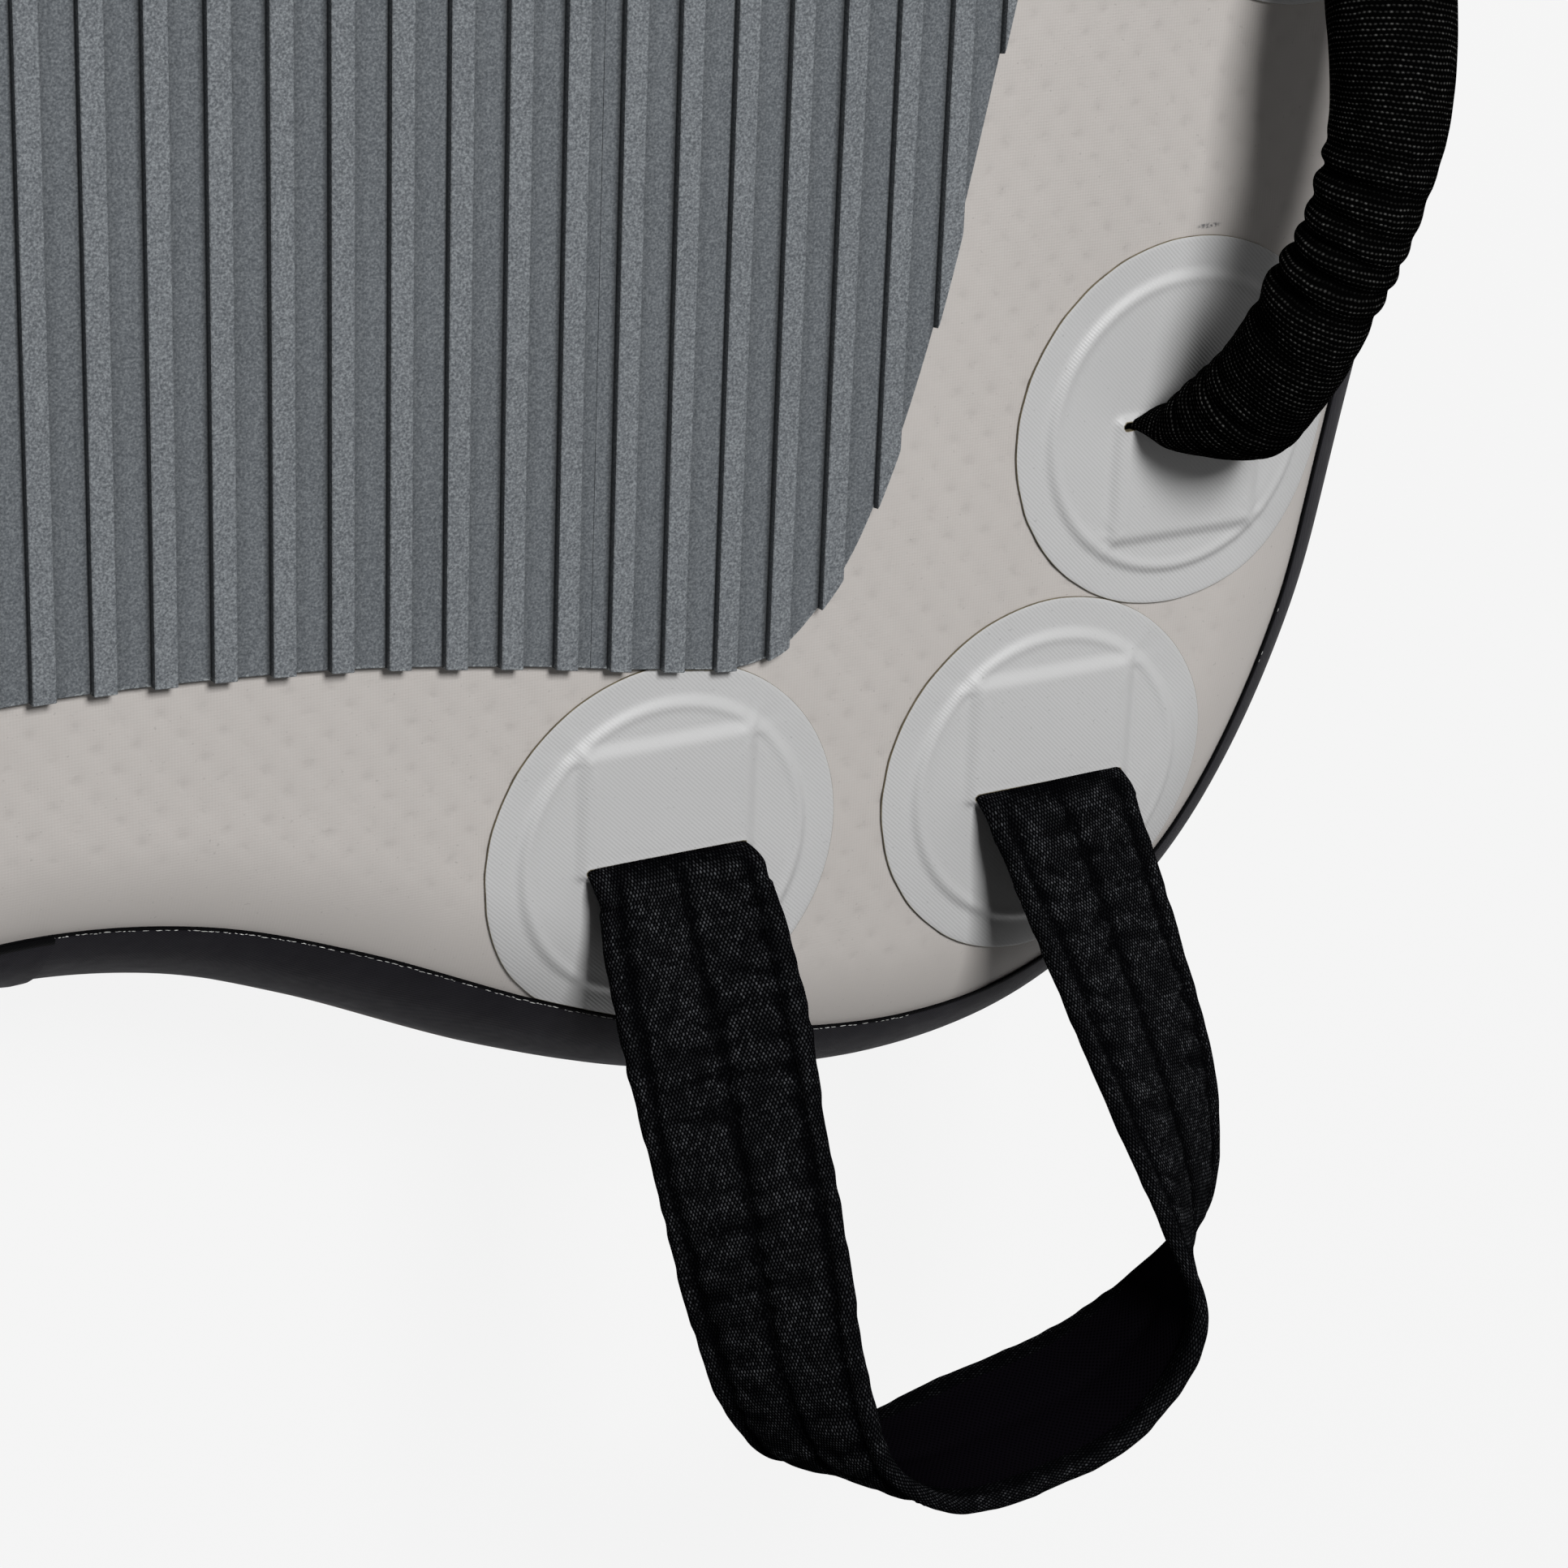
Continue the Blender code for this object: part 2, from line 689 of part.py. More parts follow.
def box_between(cx, half_width, y0, y1, low, high):
    return box((cx - half_width, min(y0, y1), low), (cx + half_width, max(y0, y1), high))


# Tail loops


def loop_stations(side):
    """Centre, direction across the strap and outward normal at each step of the loop.

    At its two roots the strap lies square to the line through the slits, which it swings about.
    """
    table = [(*offset, *across) for offset, across in LOOP_ROUTE]
    table.insert(0, (-LOOP_HALF_SPAN, 0.0, LOOP_AXIS_RISE, 1.0, 0.0, 0.0))
    table.append((LOOP_HALF_SPAN, 0.0, LOOP_AXIS_RISE, -1.0, 0.0, 0.0))
    smooth = through(table, LOOP_STEPS)
    centres, across = [], []
    for dx, aft, rise, wx, wy, wz in smooth:
        centres.append(Vector((side * (LOOP_MIDDLE + dx), LOOP_ROOT_Y - aft, HULL_THICKNESS + rise)))
        across.append(Vector((side * wx, wy, wz)))
    stations = []
    for k, centre in enumerate(centres):
        ahead = centres[min(k + 1, len(centres) - 1)] - centres[max(k - 1, 0)]
        if k in (0, len(centres) - 1):
            ahead.x = 0
        ahead.normalize()
        wide = (across[k] - across[k].dot(ahead) * ahead).normalized()
        outer = ahead.cross(wide) * side
        stations.append((centre, wide, outer.normalized()))
    return stations


def part_way(near, far):
    """The station a little way along from the near one, clear of the roll at the strap's root."""
    return tuple(a.lerp(b, COVER_SETBACK) for a, b in zip(near, far))


def ribbon(name, stations, section, finish):
    """A strap of this section (across, outward) along the stations.

    Its twisted faces are cut on matching diagonals, so that nested straps keep clear of each other.
    """
    bm = bmesh.new()
    loops = [loop_of(bm, [c + w * a + n * b for a, b in section]) for c, w, n in stations]
    count = len(section)
    for first, second in zip(loops, loops[1:]):
        for i in range(count):
            j = (i + 1) % count
            if section[i] < section[j]:
                bm.faces.new((first[i], first[j], second[j]))
                bm.faces.new((first[i], second[j], second[i]))
            else:
                bm.faces.new((first[i], first[j], second[i]))
                bm.faces.new((first[j], second[j], second[i]))
    bm.faces.new(loops[0])
    bm.faces.new(loops[-1])
    return place(name, bm, finish)


def tail_loop(label, side):
    """A padded strap: webbing, a woven cover turned round its edges, and a soft liner on the inner face."""
    stations = loop_stations(side)
    half = STRAP_WIDTH / 2
    inner_half = half - COVER
    depth = (COVER + GAP + WEBBING + GAP + LINER) / 2
    under_cover = depth - COVER
    cover = [
        (-half, -depth),
        (-half, depth),
        (half, depth),
        (half, -depth),
        (inner_half, -depth),
        (inner_half, under_cover),
        (-inner_half, under_cover),
        (-inner_half, -depth),
    ]
    short = [part_way(stations[0], stations[1]), *stations[1:-1], part_way(stations[-1], stations[-2])]
    pieces = [ribbon(f"tail_loop_{label}_cover", short, cover, BLACK_WEAVE)]
    fit = inner_half - GAP
    web_top = under_cover - GAP
    web_low = web_top - WEBBING
    webbing = [(-fit, web_low), (-fit, web_top), (fit, web_top), (fit, web_low)]
    whole = [stations[0], *short, stations[-1]]
    strap = ribbon(f"tail_loop_{label}_webbing", whole, webbing, BLACK_WEAVE)
    pieces.append(strap)
    for end, (centre, _, _) in (("inner", stations[0]), ("outer", stations[-1])):
        roll = bmesh.new()
        bmesh.ops.create_cone(
            roll,
            cap_ends=True,
            segments=TURN_STEPS,
            radius1=LOOP_ROOT_RADIUS,
            radius2=LOOP_ROOT_RADIUS,
            depth=2 * fit,
            matrix=Matrix.Translation(centre) @ Matrix.Rotation(math.pi / 2, 4, "Y"),
        )
        cut(strap, cutter(f"tail_loop_{label}_{end}_roll", roll), "UNION")
    liner_top = web_low - GAP
    liner = [(-fit, -depth), (-fit, liner_top), (fit, liner_top), (fit, -depth)]
    pieces.append(ribbon(f"tail_loop_{label}_liner", short, liner, BLACK_SOFT))
    inner_x = LOOP_MIDDLE - LOOP_HALF_SPAN
    outer_x = LOOP_MIDDLE + LOOP_HALF_SPAN
    strap_root(f"tail_loop_{label}_inner", (side * inner_x, LOOP_ROOT_Y), 1, beside_pad=True)
    strap_root(f"tail_loop_{label}_outer", (side * outer_x, LOOP_ROOT_Y), 1)
    pivot = (side * LOOP_MIDDLE, LOOP_ROOT_Y, HULL_THICKNESS + LOOP_AXIS_RISE)
    for piece in pieces:
        set_pivot(piece, pivot)


# Tube handles


def oval(half_width, half_thickness, sides=TUBE_SIDES):
    """A closed oval, round where the two halves are equal and boxy where they are not."""
    squash = min(1.0, half_thickness / half_width)
    power = OVAL_BOXINESS + (1 - OVAL_BOXINESS) * squash
    points = []
    for k in range(sides):
        angle = 2 * math.pi * (k + 0.5) / sides
        wide = math.copysign(abs(math.cos(angle)) ** power, math.cos(angle))
        thick = math.copysign(abs(math.sin(angle)) ** power, math.sin(angle))
        points.append((half_width * wide, half_thickness * thick))
    return points


def arch_shares():
    """Stations of the sleeve: its gathered end, the stretch over the foam, and its other gathered end."""
    gathered = list(np.linspace(SLEEVE_START, FOAM_START, GATHER_STEPS + 1)[:-1])
    return gathered + foam_shares() + [1 - share for share in gathered[::-1]]


def foam_shares():
    return list(np.linspace(FOAM_START, 1 - FOAM_START, FOAM_STEPS))


class Arch:
    """The line of a tube handle over the deck, from its aft slit to its forward slit."""

    def __init__(self, aft, forward):
        self.start = Vector((*aft, 0))
        self.run = Vector((*forward, 0)) - self.start
        self.ahead = self.run.normalized()
        self.across = Vector((self.ahead.y, -self.ahead.x, 0))

    def centre(self, share):
        along = (1 - math.cos(math.pi * share)) / 2
        climb = (ARCH_HEIGHT - SWAY_RISE) * math.sin(math.pi * share) ** ARCH_POWER
        return self.start + self.run * along + Vector((0, 0, HULL_THICKNESS + SWAY_RISE + climb))

    def station(self, share):
        forward = self.centre(min(share + ARCH_STEP, 1)) - self.centre(max(share - ARCH_STEP, 0))
        forward.normalize()
        return self.centre(share), self.across, forward.cross(self.across)


def section_loop(bm, station, points):
    centre, wide, thick = station
    return loop_of(bm, [centre + wide * a + thick * b for a, b in points])


def arch_sleeve(name, arch):
    """The woven sleeve: a tube, gathered flat at its two mouths."""
    outer, inner = [], []
    bm = bmesh.new()
    for share in arch_shares():
        from_end = min(share, 1 - share) - SLEEVE_START
        full = min(1.0, from_end / (FOAM_START - SLEEVE_START))
        full = full * full * (3 - 2 * full)
        half_width = MOUTH_HALF_WIDTH + (SLEEVE_RADIUS - MOUTH_HALF_WIDTH) * full
        half_thickness = MOUTH_HALF_THICKNESS + (SLEEVE_RADIUS - MOUTH_HALF_THICKNESS) * full
        station = arch.station(share)
        outer.append(section_loop(bm, station, oval(half_width, half_thickness)))
        inner.append(section_loop(bm, station, oval(half_width - SLEEVE, half_thickness - SLEEVE)))
    for rings in (outer, inner):
        for first, second in zip(rings, rings[1:]):
            bridge(bm, first, second)
    bridge(bm, outer[0], inner[0])
    bridge(bm, outer[-1], inner[-1])
    return place(name, bm, BLACK_WEAVE)


def arch_foam(name, arch):
    """The foam tube between sleeve and webbing."""
    radius = SLEEVE_RADIUS - SLEEVE - GAP
    bore = oval(CORE_HALF_WIDTH + FOAM_BORE_CLEARANCE, CORE_HALF_THICKNESS + FOAM_BORE_CLEARANCE)
    bm = bmesh.new()
    outer, inner = [], []
    for share in foam_shares():
        station = arch.station(share)
        outer.append(section_loop(bm, station, oval(radius, radius)))
        inner.append(section_loop(bm, station, bore))
    for rings in (outer, inner):
        for first, second in zip(rings, rings[1:]):
            bridge(bm, first, second)
    bridge(bm, outer[0], inner[0])
    bridge(bm, outer[-1], inner[-1])
    return place(name, bm, FOAM_GREY)


def arch_core(name, arch):
    """The folded webbing through the handle, with a round end over each slit, centred on the sway axis."""
    bm = bmesh.new()
    section = oval(CORE_HALF_WIDTH, CORE_HALF_THICKNESS)
    loops = [section_loop(bm, arch.station(share), section) for share in [0.0, *arch_shares(), 1.0]]
    for first, second in zip(loops, loops[1:]):
        bridge(bm, first, second)
    bm.faces.new(loops[0])
    bm.faces.new(loops[-1])
    core = place(name, bm, BLACK_WEAVE)
    for end, share in (("aft", 0), ("forward", 1)):
        centre = arch.centre(share)
        disc = bmesh.new()
        turn = arch.ahead.to_track_quat("Z", "Y").to_matrix().to_4x4()
        bmesh.ops.create_cone(
            disc,
            cap_ends=True,
            segments=TURN_STEPS,
            radius1=CORE_HALF_WIDTH,
            radius2=CORE_HALF_WIDTH,
            depth=2 * CORE_HALF_THICKNESS,
            matrix=Matrix.Translation(centre) @ turn,
        )
        cut(core, cutter(f"{name}_{end}_end", disc), "UNION")
    return core


def tube_handle(label, ends, side):
    aft, forward = [(side * (seam_x(y) - HANDLE_INSET), y) for y in ends]
    arch = Arch(aft, forward)
    for piece in (
        arch_core(f"{label}_webbing", arch),
        arch_foam(f"{label}_foam", arch),
        arch_sleeve(f"{label}_sleeve", arch),
    ):
        set_pivot(piece, arch.centre(0))
    strap_root(f"{label}_aft", aft, -1)
    strap_root(f"{label}_forward", forward, 1)


# D-rings


def ring_frame(side):
    """The place of a D-ring on the bow: its axis runs across the hull, over a deck that slopes up forward."""
    x, y = side * RING_PLACE[0], RING_PLACE[1]
    slope = (lift(y + RING_REACH) - lift(y)) / RING_REACH
    return Matrix.Translation((x, y, deck_height(x, y))) @ Matrix.Rotation(math.atan(slope), 4, "X")


def d_ring(label, side):
    frame = ring_frame(side)
    pad = patch(f"d_ring_{label}_patch", (side * RING_PLACE[0], RING_PLACE[1]))
    bore_radius = RING_WIRE + RING_BORE_CLEARANCE
    top = RING_AXIS_RISE + bore_radius + KEEPER_WALL
    keeper = box(
        (-KEEPER_HALF_WIDTH, -KEEPER_HALF_LENGTH, PATCH_LIFT + PATCH_SHEET / 2),
        (KEEPER_HALF_WIDTH, KEEPER_HALF_LENGTH, top),
    )
    upper = [edge for edge in keeper.edges if min(vert.co.z for vert in edge.verts) > top / 2]
    lengthways = [edge for edge in upper if edge.calc_length() > 2 * KEEPER_HALF_LENGTH + GAP]
    bmesh.ops.bevel(keeper, geom=lengthways, offset=KEEPER_ROUND, segments=2, affect="EDGES")
    keeper.transform(frame)
    cut(pad, cutter(f"d_ring_{label}_keeper", keeper), "UNION")
    bore = bmesh.new()
    along_x = Matrix.Rotation(math.pi / 2, 4, "Y")
    axis = Matrix.Translation((0, 0, RING_AXIS_RISE))
    bmesh.ops.create_cone(
        bore,
        cap_ends=True,
        segments=TURN_STEPS,
        radius1=bore_radius,
        radius2=bore_radius,
        depth=4 * KEEPER_HALF_WIDTH,
        matrix=frame @ axis @ along_x,
    )
    cut(pad, cutter(f"d_ring_{label}_bore", bore))
    wire_ring(f"d_ring_{label}_ring", frame)


def wire_ring(name, frame):
    """A bent wire: a straight bar in the keeper's bore and a half round bow."""
    line = bpy.data.curves.new(name, "CURVE")
    line.dimensions = "3D"
    line.bevel_depth = RING_WIRE
    line.bevel_resolution = 1
    straight = [(-RING_HALF_WIDTH + RING_HALF_WIDTH * 2 * k / 3, 0) for k in range(4)]
    bow = RING_REACH - RING_CORNER
    arc = []
    for k in range(13):
        angle = math.pi * k / 12
        arc.append((RING_HALF_WIDTH * math.cos(angle), RING_CORNER + bow * math.sin(angle)))
    points = straight + arc
    spline = line.splines.new("POLY")
    spline.points.add(len(points) - 1)
    spline.use_cyclic_u = True
    for point, (px, py) in zip(spline.points, points):
        point.co = (*(frame @ Vector((px, py, RING_AXIS_RISE))), 1)
    ring = bpy.data.objects.new(name, line)
    line.materials.append(STEEL)
    PARTS.objects.link(ring)
    set_pivot(ring, frame @ Vector((0, 0, RING_AXIS_RISE)))


# Inflation valve


def round_bar(radius, low, high, spot):
    bm = bmesh.new()
    bmesh.ops.create_cone(
        bm,
        cap_ends=True,
        segments=TURN_STEPS,
        radius1=radius,
        radius2=radius,
        depth=high - low,
        matrix=Matrix.Translation((*spot, (low + high) / 2)),
    )
    return bm


def valve_body(centre, floor, top):
    """The flanged barrel, with a seat lip near its top and a floor that guides the poppet's stem."""
    deck = HULL_THICKNESS
    inner = BARREL_RADIUS - BARREL_WALL
    lip_top = deck - SEAT_DEPTH
    lip_low = lip_top - SEAT_LIP
    guide = STEM_RADIUS + STEM_CLEARANCE
    profile = [
        (inner, top),
        (FLANGE_RADIUS - FLANGE_CHAMFER, top),
        (FLANGE_RADIUS, top - FLANGE_CHAMFER),
        (FLANGE_RADIUS, deck + GAP),
        (BARREL_RADIUS, deck + GAP),
        (BARREL_RADIUS, floor),
        (guide, floor),
        (guide, floor + FLOOR),
        (inner, floor + FLOOR),
        (inner, lip_low),
        (SEAT_RADIUS, lip_low),
        (SEAT_RADIUS, lip_top),
        (inner, lip_top),
    ]
    body = turned("valve_body", profile, VALVE_GREY, centre)
    middle = (guide + inner) / 2
    for k in range(4):
        angle = math.pi / 4 + math.pi / 2 * k
        spot = (middle * math.cos(angle), centre[1] + middle * math.sin(angle))
        port = round_bar(PORT_RADIUS, floor - FLOOR, floor + 2 * FLOOR, spot)
        cut(body, cutter(f"valve_port_{k}", port))


def valve_poppet(centre, floor, head_top):
    """The sealing head under the seat lip, with its push button above and its guided stem below."""
    head_low = head_top - POPPET_HEAD
    button_top = HULL_THICKNESS
    stem_low = floor - POPPET_TRAVEL / 2
    profile = [
        (0.0, button_top),
        (BUTTON_RADIUS, button_top),
        (BUTTON_RADIUS, head_top),
        (POPPET_RADIUS, head_top),
        (POPPET_RADIUS, head_low),
        (STEM_RADIUS, head_low),
        (STEM_RADIUS, stem_low),
        (0.0, stem_low),
    ]
    turned("valve_poppet", profile, POPPET_BLACK, centre)


def valve_spring(centre, low, high):
    """A coil of wire round the stem, between the floor and the head."""
    wire = bpy.data.curves.new("valve_spring", "CURVE")
    wire.dimensions = "3D"
    wire.bevel_depth = SPRING_WIRE
    wire.bevel_resolution = 1
    wire.use_fill_caps = True
    steps = SPRING_TURNS * SPRING_SIDES
    spline = wire.splines.new("POLY")
    spline.points.add(steps)
    for k, point in enumerate(spline.points):
        angle = 2 * math.pi * k / SPRING_SIDES
        height = low + (high - low) * k / steps
        out = (SPRING_RADIUS * math.cos(angle), SPRING_RADIUS * math.sin(angle))
        point.co = (centre[0] + out[0], centre[1] + out[1], height, 1)
    wire.materials.append(STEEL)
    PARTS.objects.link(bpy.data.objects.new("valve_spring", wire))


def valve_cap(centre, low):
    """A hollow cap over the barrel, with a bar to turn it by."""
    top = low + CAP_HEIGHT
    inner = CAP_RADIUS - CAP_WALL
    profile = [
        (0.0, top),
        (CAP_RADIUS - CAP_WALL, top),
        (CAP_RADIUS, top - CAP_WALL),
        (CAP_RADIUS, low),
        (inner, low),
        (inner, top - CAP_WALL),
        (0.0, top - CAP_WALL),
    ]
    cap = turned("valve_cap", profile, VALVE_GREY, centre)
    half_length = CAP_RADIUS - 2 * CAP_WALL
    low_corner = (-half_length, centre[1] - CAP_BAR / 2, top - CAP_WALL / 2)
    high_corner = (half_length, centre[1] + CAP_BAR / 2, top + CAP_BAR)
    cut(cap, cutter("valve_cap_bar", box(low_corner, high_corner)), "UNION")


def valve():
    deck = HULL_THICKNESS
    centre = (0, VALVE_Y, 0)
    floor = deck - BARREL_DEPTH
    top = deck + GAP + FLANGE
    head_top = deck - SEAT_DEPTH - SEAT_LIP - GAP
    hole = cutter("valve_hole", round_bar(BARREL_RADIUS + GAP, floor, top, (0, VALVE_Y)))
    cut(bpy.data.objects["deck_skin"], hole)
    cut(bpy.data.objects["drop_stitch_fabric"], hole)
    valve_body(centre, floor, top)
    valve_poppet(centre, floor, head_top)
    spring_low = floor + FLOOR + GAP + SPRING_WIRE
    spring_high = head_top - POPPET_HEAD - GAP - SPRING_WIRE
    valve_spring(centre, spring_low, spring_high)
    valve_cap(centre, top + GAP)


def build():
    skin("deck_skin", DECK_GREY)
    skin("bottom_skin", BOTTOM_GREY, underside=True)
    rows = rail_rows()
    wall_edge = SEAM_ANGLE + WALL_SETBACK
    wall_rows = [wall_edge, *rows[2:-2], math.pi - wall_edge]
    rail_band("rail_wall", wall_rows, RAIL_RADIUS, SKIN, BOTTOM_GREY)
    rail_band("rail_tape", rows, RAIL_RADIUS + GAP + TAPE, TAPE, RAIL_CHARCOAL)
    tape_overlap()
    drop_stitch_fabric()
    deck_pad()
    for label, side in PORT_AND_STARBOARD.items():
        tail_loop(label, side)
        for where, ends in HANDLE_ROOTS.items():
            tube_handle(f"{where}_{label}_handle", ends, side)
        d_ring(label, side)
    valve()


GROOVES = groove_cutter()
PAD_CLEARANCE = pad_clearance()
SHEET_LAYER = deck_layer("sheet_layer", PATCH_LIFT, PATCH_LIFT + PATCH_SHEET)
RAISED_LAYER = deck_layer("raised_layer", PATCH_LIFT + PATCH_SHEET / 2, PATCH_TOP)
build()
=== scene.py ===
"""Looks of the inflatable rescue sled: every surface as it shows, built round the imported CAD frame.

Metres, +X to starboard, +Y forward, +Z up, with the hull's underside at zero.
"""

import functools
import json
import math

import bmesh
import bpy
import numpy as np
from mathutils import Matrix, Vector
from mathutils.geometry import delaunay_2d_cdt
from mathutils.kdtree import KDTree


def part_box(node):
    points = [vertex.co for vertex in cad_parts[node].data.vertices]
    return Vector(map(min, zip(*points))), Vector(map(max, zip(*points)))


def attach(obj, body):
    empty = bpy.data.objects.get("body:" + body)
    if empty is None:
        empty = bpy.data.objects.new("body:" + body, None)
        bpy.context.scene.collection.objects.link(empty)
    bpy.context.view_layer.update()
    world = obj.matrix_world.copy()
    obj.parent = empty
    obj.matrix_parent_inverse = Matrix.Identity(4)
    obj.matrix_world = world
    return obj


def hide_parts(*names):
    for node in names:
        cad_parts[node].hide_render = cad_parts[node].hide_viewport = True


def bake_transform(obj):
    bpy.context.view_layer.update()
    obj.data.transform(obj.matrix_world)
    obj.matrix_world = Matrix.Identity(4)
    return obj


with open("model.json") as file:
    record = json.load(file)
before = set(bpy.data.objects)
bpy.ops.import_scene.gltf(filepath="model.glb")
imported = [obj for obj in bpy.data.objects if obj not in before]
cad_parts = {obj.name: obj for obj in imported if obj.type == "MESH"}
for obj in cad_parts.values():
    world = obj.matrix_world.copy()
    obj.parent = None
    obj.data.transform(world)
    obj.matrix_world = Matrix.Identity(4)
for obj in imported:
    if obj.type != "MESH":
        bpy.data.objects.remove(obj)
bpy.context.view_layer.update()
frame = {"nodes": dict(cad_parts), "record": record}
SHARP_ANGLE = math.radians(38)
UV_MAP = "Weave"
SIDES = {"port": -1, "starboard": 1}
# Filled by build() with a finish for each slot of the record, and with a few of the scene's own
MATERIALS = {}

# Hull
HULL_THICKNESS = 0.120
RAIL_RADIUS = HULL_THICKNESS / 2
SEAM_ANGLE = math.radians(30)
FLAT_INSET = RAIL_RADIUS * math.sin(SEAM_ANGLE)
SKIN = 0.0008
SKIN_LAP = 0.0048
ROCKER_START = 0.42
ROCKER_END = 0.91
ROCKER_RISE = 0.09
OUTLINE_STEP = 0.004
SEAM_HALF = [
    (0.000, -0.7880),
    (0.052, -0.7945),
    (0.102, -0.8125),
    (0.166, -0.8425),
    (0.222, -0.8615),
    (0.286, -0.8700),
    (0.338, -0.8595),
    (0.382, -0.8245),
    (0.4135, -0.763),
    (0.4305, -0.685),
    (0.466, -0.495),
    (0.492, -0.300),
    (0.500, -0.080),
    (0.492, 0.200),
    (0.468, 0.480),
    (0.432, 0.700),
    (0.375, 0.812),
    (0.290, 0.850),
    (0.150, 0.842),
    (0.000, 0.828),
]
TAPE_OUTER = 0.0612
TAPE_INNER = 0.0603
TAPE_STRIP = 0.0003
OVERLAP_OUTER = 0.0624
OVERLAP_ENDS = (-0.060, 0.009)
# How far above the middle of the rail the upper strip of tape ends, along the section
TAPE_STEP = 0.0267
# Stations of the tape's section, in degrees from straight up
TAPE_ANGLES = [30, 30.5, 31.5, 34, 38, 42, 46, 50, 54, 58, 62, 64.6, 65.4]
TAPE_ANGLES += [68, 72, 76, 80, 84, 88, 92, 96, 100, 104]
TAPE_ANGLES += [180 - angle for angle in (72, 68, 64, 60, 56, 48, 40, 34, 31.5, 30.5, 30)]

# Dimples that the drop-stitch threads leave in the deck, and the one scuff on it
DIMPLE_PITCH = 0.0125
DIMPLE_ROW = 0.0074
DIMPLE_DEPTH = 0.00026
DIMPLE_RADIUS = 0.0019
DIMPLE_FADE = (0.015, 0.030)
SCUFF = (0.3736, -0.6242)
SCUFF_HALF = (0.0042, 0.0008)

# Deck pad
PAD_BASE = 0.1203
PAD_VALLEY = 0.1230
PAD_TOP = 0.1258
RIB_PITCH = 0.01735
RIB_SHIFT = 0.0025
RIB_HALF = 0.00335
RIB_FOOT = RIB_HALF + 0.00012
RIB_BEVEL = 0.0003
PAD_JOINT = 9.5 * RIB_PITCH
PAD_GAP = 0.00008
PAD_HALF = [
    (0.000, -0.7142),
    (0.080, -0.7184),
    (0.140, -0.7266),
    (0.190, -0.7356),
    (0.221, -0.7386),
    (0.240, -0.7268),
    (0.258, -0.6990),
    (0.277, -0.6420),
    (0.2972, -0.5486),
    (0.320, -0.430),
    (0.337, -0.280),
    (0.342, -0.080),
    (0.332, 0.130),
    (0.306, 0.275),
    (0.262, 0.330),
    (0.180, 0.345),
    (0.000, 0.350),
]

# Patches with the webbing's tails under them
PATCH_RADIUS = 0.058
PATCH_RAISED_RADIUS = 0.0475
PATCH_LOW = 0.0003
PATCH_SHEET = 0.0009
PATCH_RAISE = 0.0011
PATCH_GRAIN = 0.0011
TAIL_HALF = 0.0259
TAIL_LENGTH = 0.0349
TAIL_RISE = 0.0019
SLIT_HALF = 0.0253
SLIT_HALF_WIDTH = 0.00125
SLIT_SETBACK = 0.002
# A handle's slit and webbing stop this share short on their inboard side
INBOARD_SHARE = 0.83

# Tail loops: the route is the strap's offset from its root's middle and its direction across
LOOP_MIDDLE = 0.2603
LOOP_ROOT_Y = -0.7955
LOOP_HALF_SPAN = 0.0665
LOOP_TURN = 0.0095
LOOP_SINK = 0.0006
LOOP_ROUTE = [
    ((-0.0665, 0.000, 0.0078), (1.00, 0.00, 0.00)),
    ((-0.0670, 0.040, 0.032), (0.94, 0.17, 0.30)),
    ((-0.0688, 0.079, 0.061), (0.80, 0.30, 0.52)),
    ((-0.0692, 0.107, 0.077), (0.65, 0.34, 0.68)),
    ((-0.0655, 0.1365, 0.088), (0.49, 0.32, 0.81)),
    ((-0.0530, 0.1605, 0.092), (0.25, 0.30, 0.92)),
    ((-0.0250, 0.1705, 0.089), (0.10, -0.06, 0.99)),
    ((0.0085, 0.1695, 0.086), (0.05, -0.25, 0.97)),
    ((0.0400, 0.1615, 0.087), (0.05, -0.16, 0.99)),
    ((0.0640, 0.1415, 0.087), (-0.11, 0.17, 0.98)),
    ((0.0750, 0.113, 0.080), (-0.72, 0.35, 0.60)),
    ((0.0755, 0.083, 0.065), (-0.93, 0.17, 0.33)),
    ((0.0730, 0.045, 0.037), (-0.98, 0.05, 0.15)),
    ((0.0665, 0.000, 0.0078), (-1.00, 0.00, 0.00)),
]
STRAP_HALF = 0.02625
STRAP_DEPTH = 0.0027
STRAP_COVER = 0.0008
STRAP_STATIONS = 420
BINDING = 0.0068
# Soft grooves along the padded face, and how deep each is
STRAP_GROOVES = ((-0.0205, 0.00080), (0.0010, 0.00100), (0.0205, 0.00080))
STITCH_ROWS = (-0.0224, 0.0, 0.0224)
STITCH_PITCH = 0.0031
STITCH_LENGTH = 0.0023
STITCH_RADIUS = 0.00021
HOLE_PITCH = 0.0017

# Tube handles, with the sleeve's radius and its shift outboard of its line, at lengths from its aft end
HANDLE_ENDS = {
    "aft": ((0.3674, -0.6825), (0.4006, -0.5035)),
    "forward": ((0.4351, 0.030), (0.4276, 0.209)),
}
SWAY_RISE = 0.0148
ARCH_HEIGHT = 0.061
ARCH_POWER = 1.5
SLEEVE_RADIUS = 0.0175
SLEEVE_CLOTH = 0.0008
SLEEVE_STATIONS = 360
SLEEVE_AROUND = 72
SLEEVE_LENGTHS = (0.0, 0.010, 0.035, 0.062, 0.082, 0.100, 0.132, 0.168, 0.205, 0.240)
SLEEVE_RADII = (0.0170, 0.0170, 0.0170, 0.0172, 0.0165, 0.0159, 0.0169, 0.0188, 0.0176, 0.0170)
SLEEVE_SHIFTS = (0.0, 0.0012, 0.0008, -0.0002, -0.0004, 0.0013, 0.0036, 0.0008, 0.0008, 0.0)
MOUTH_HALF = 0.0200
MOUTH_DEPTH = 0.0010
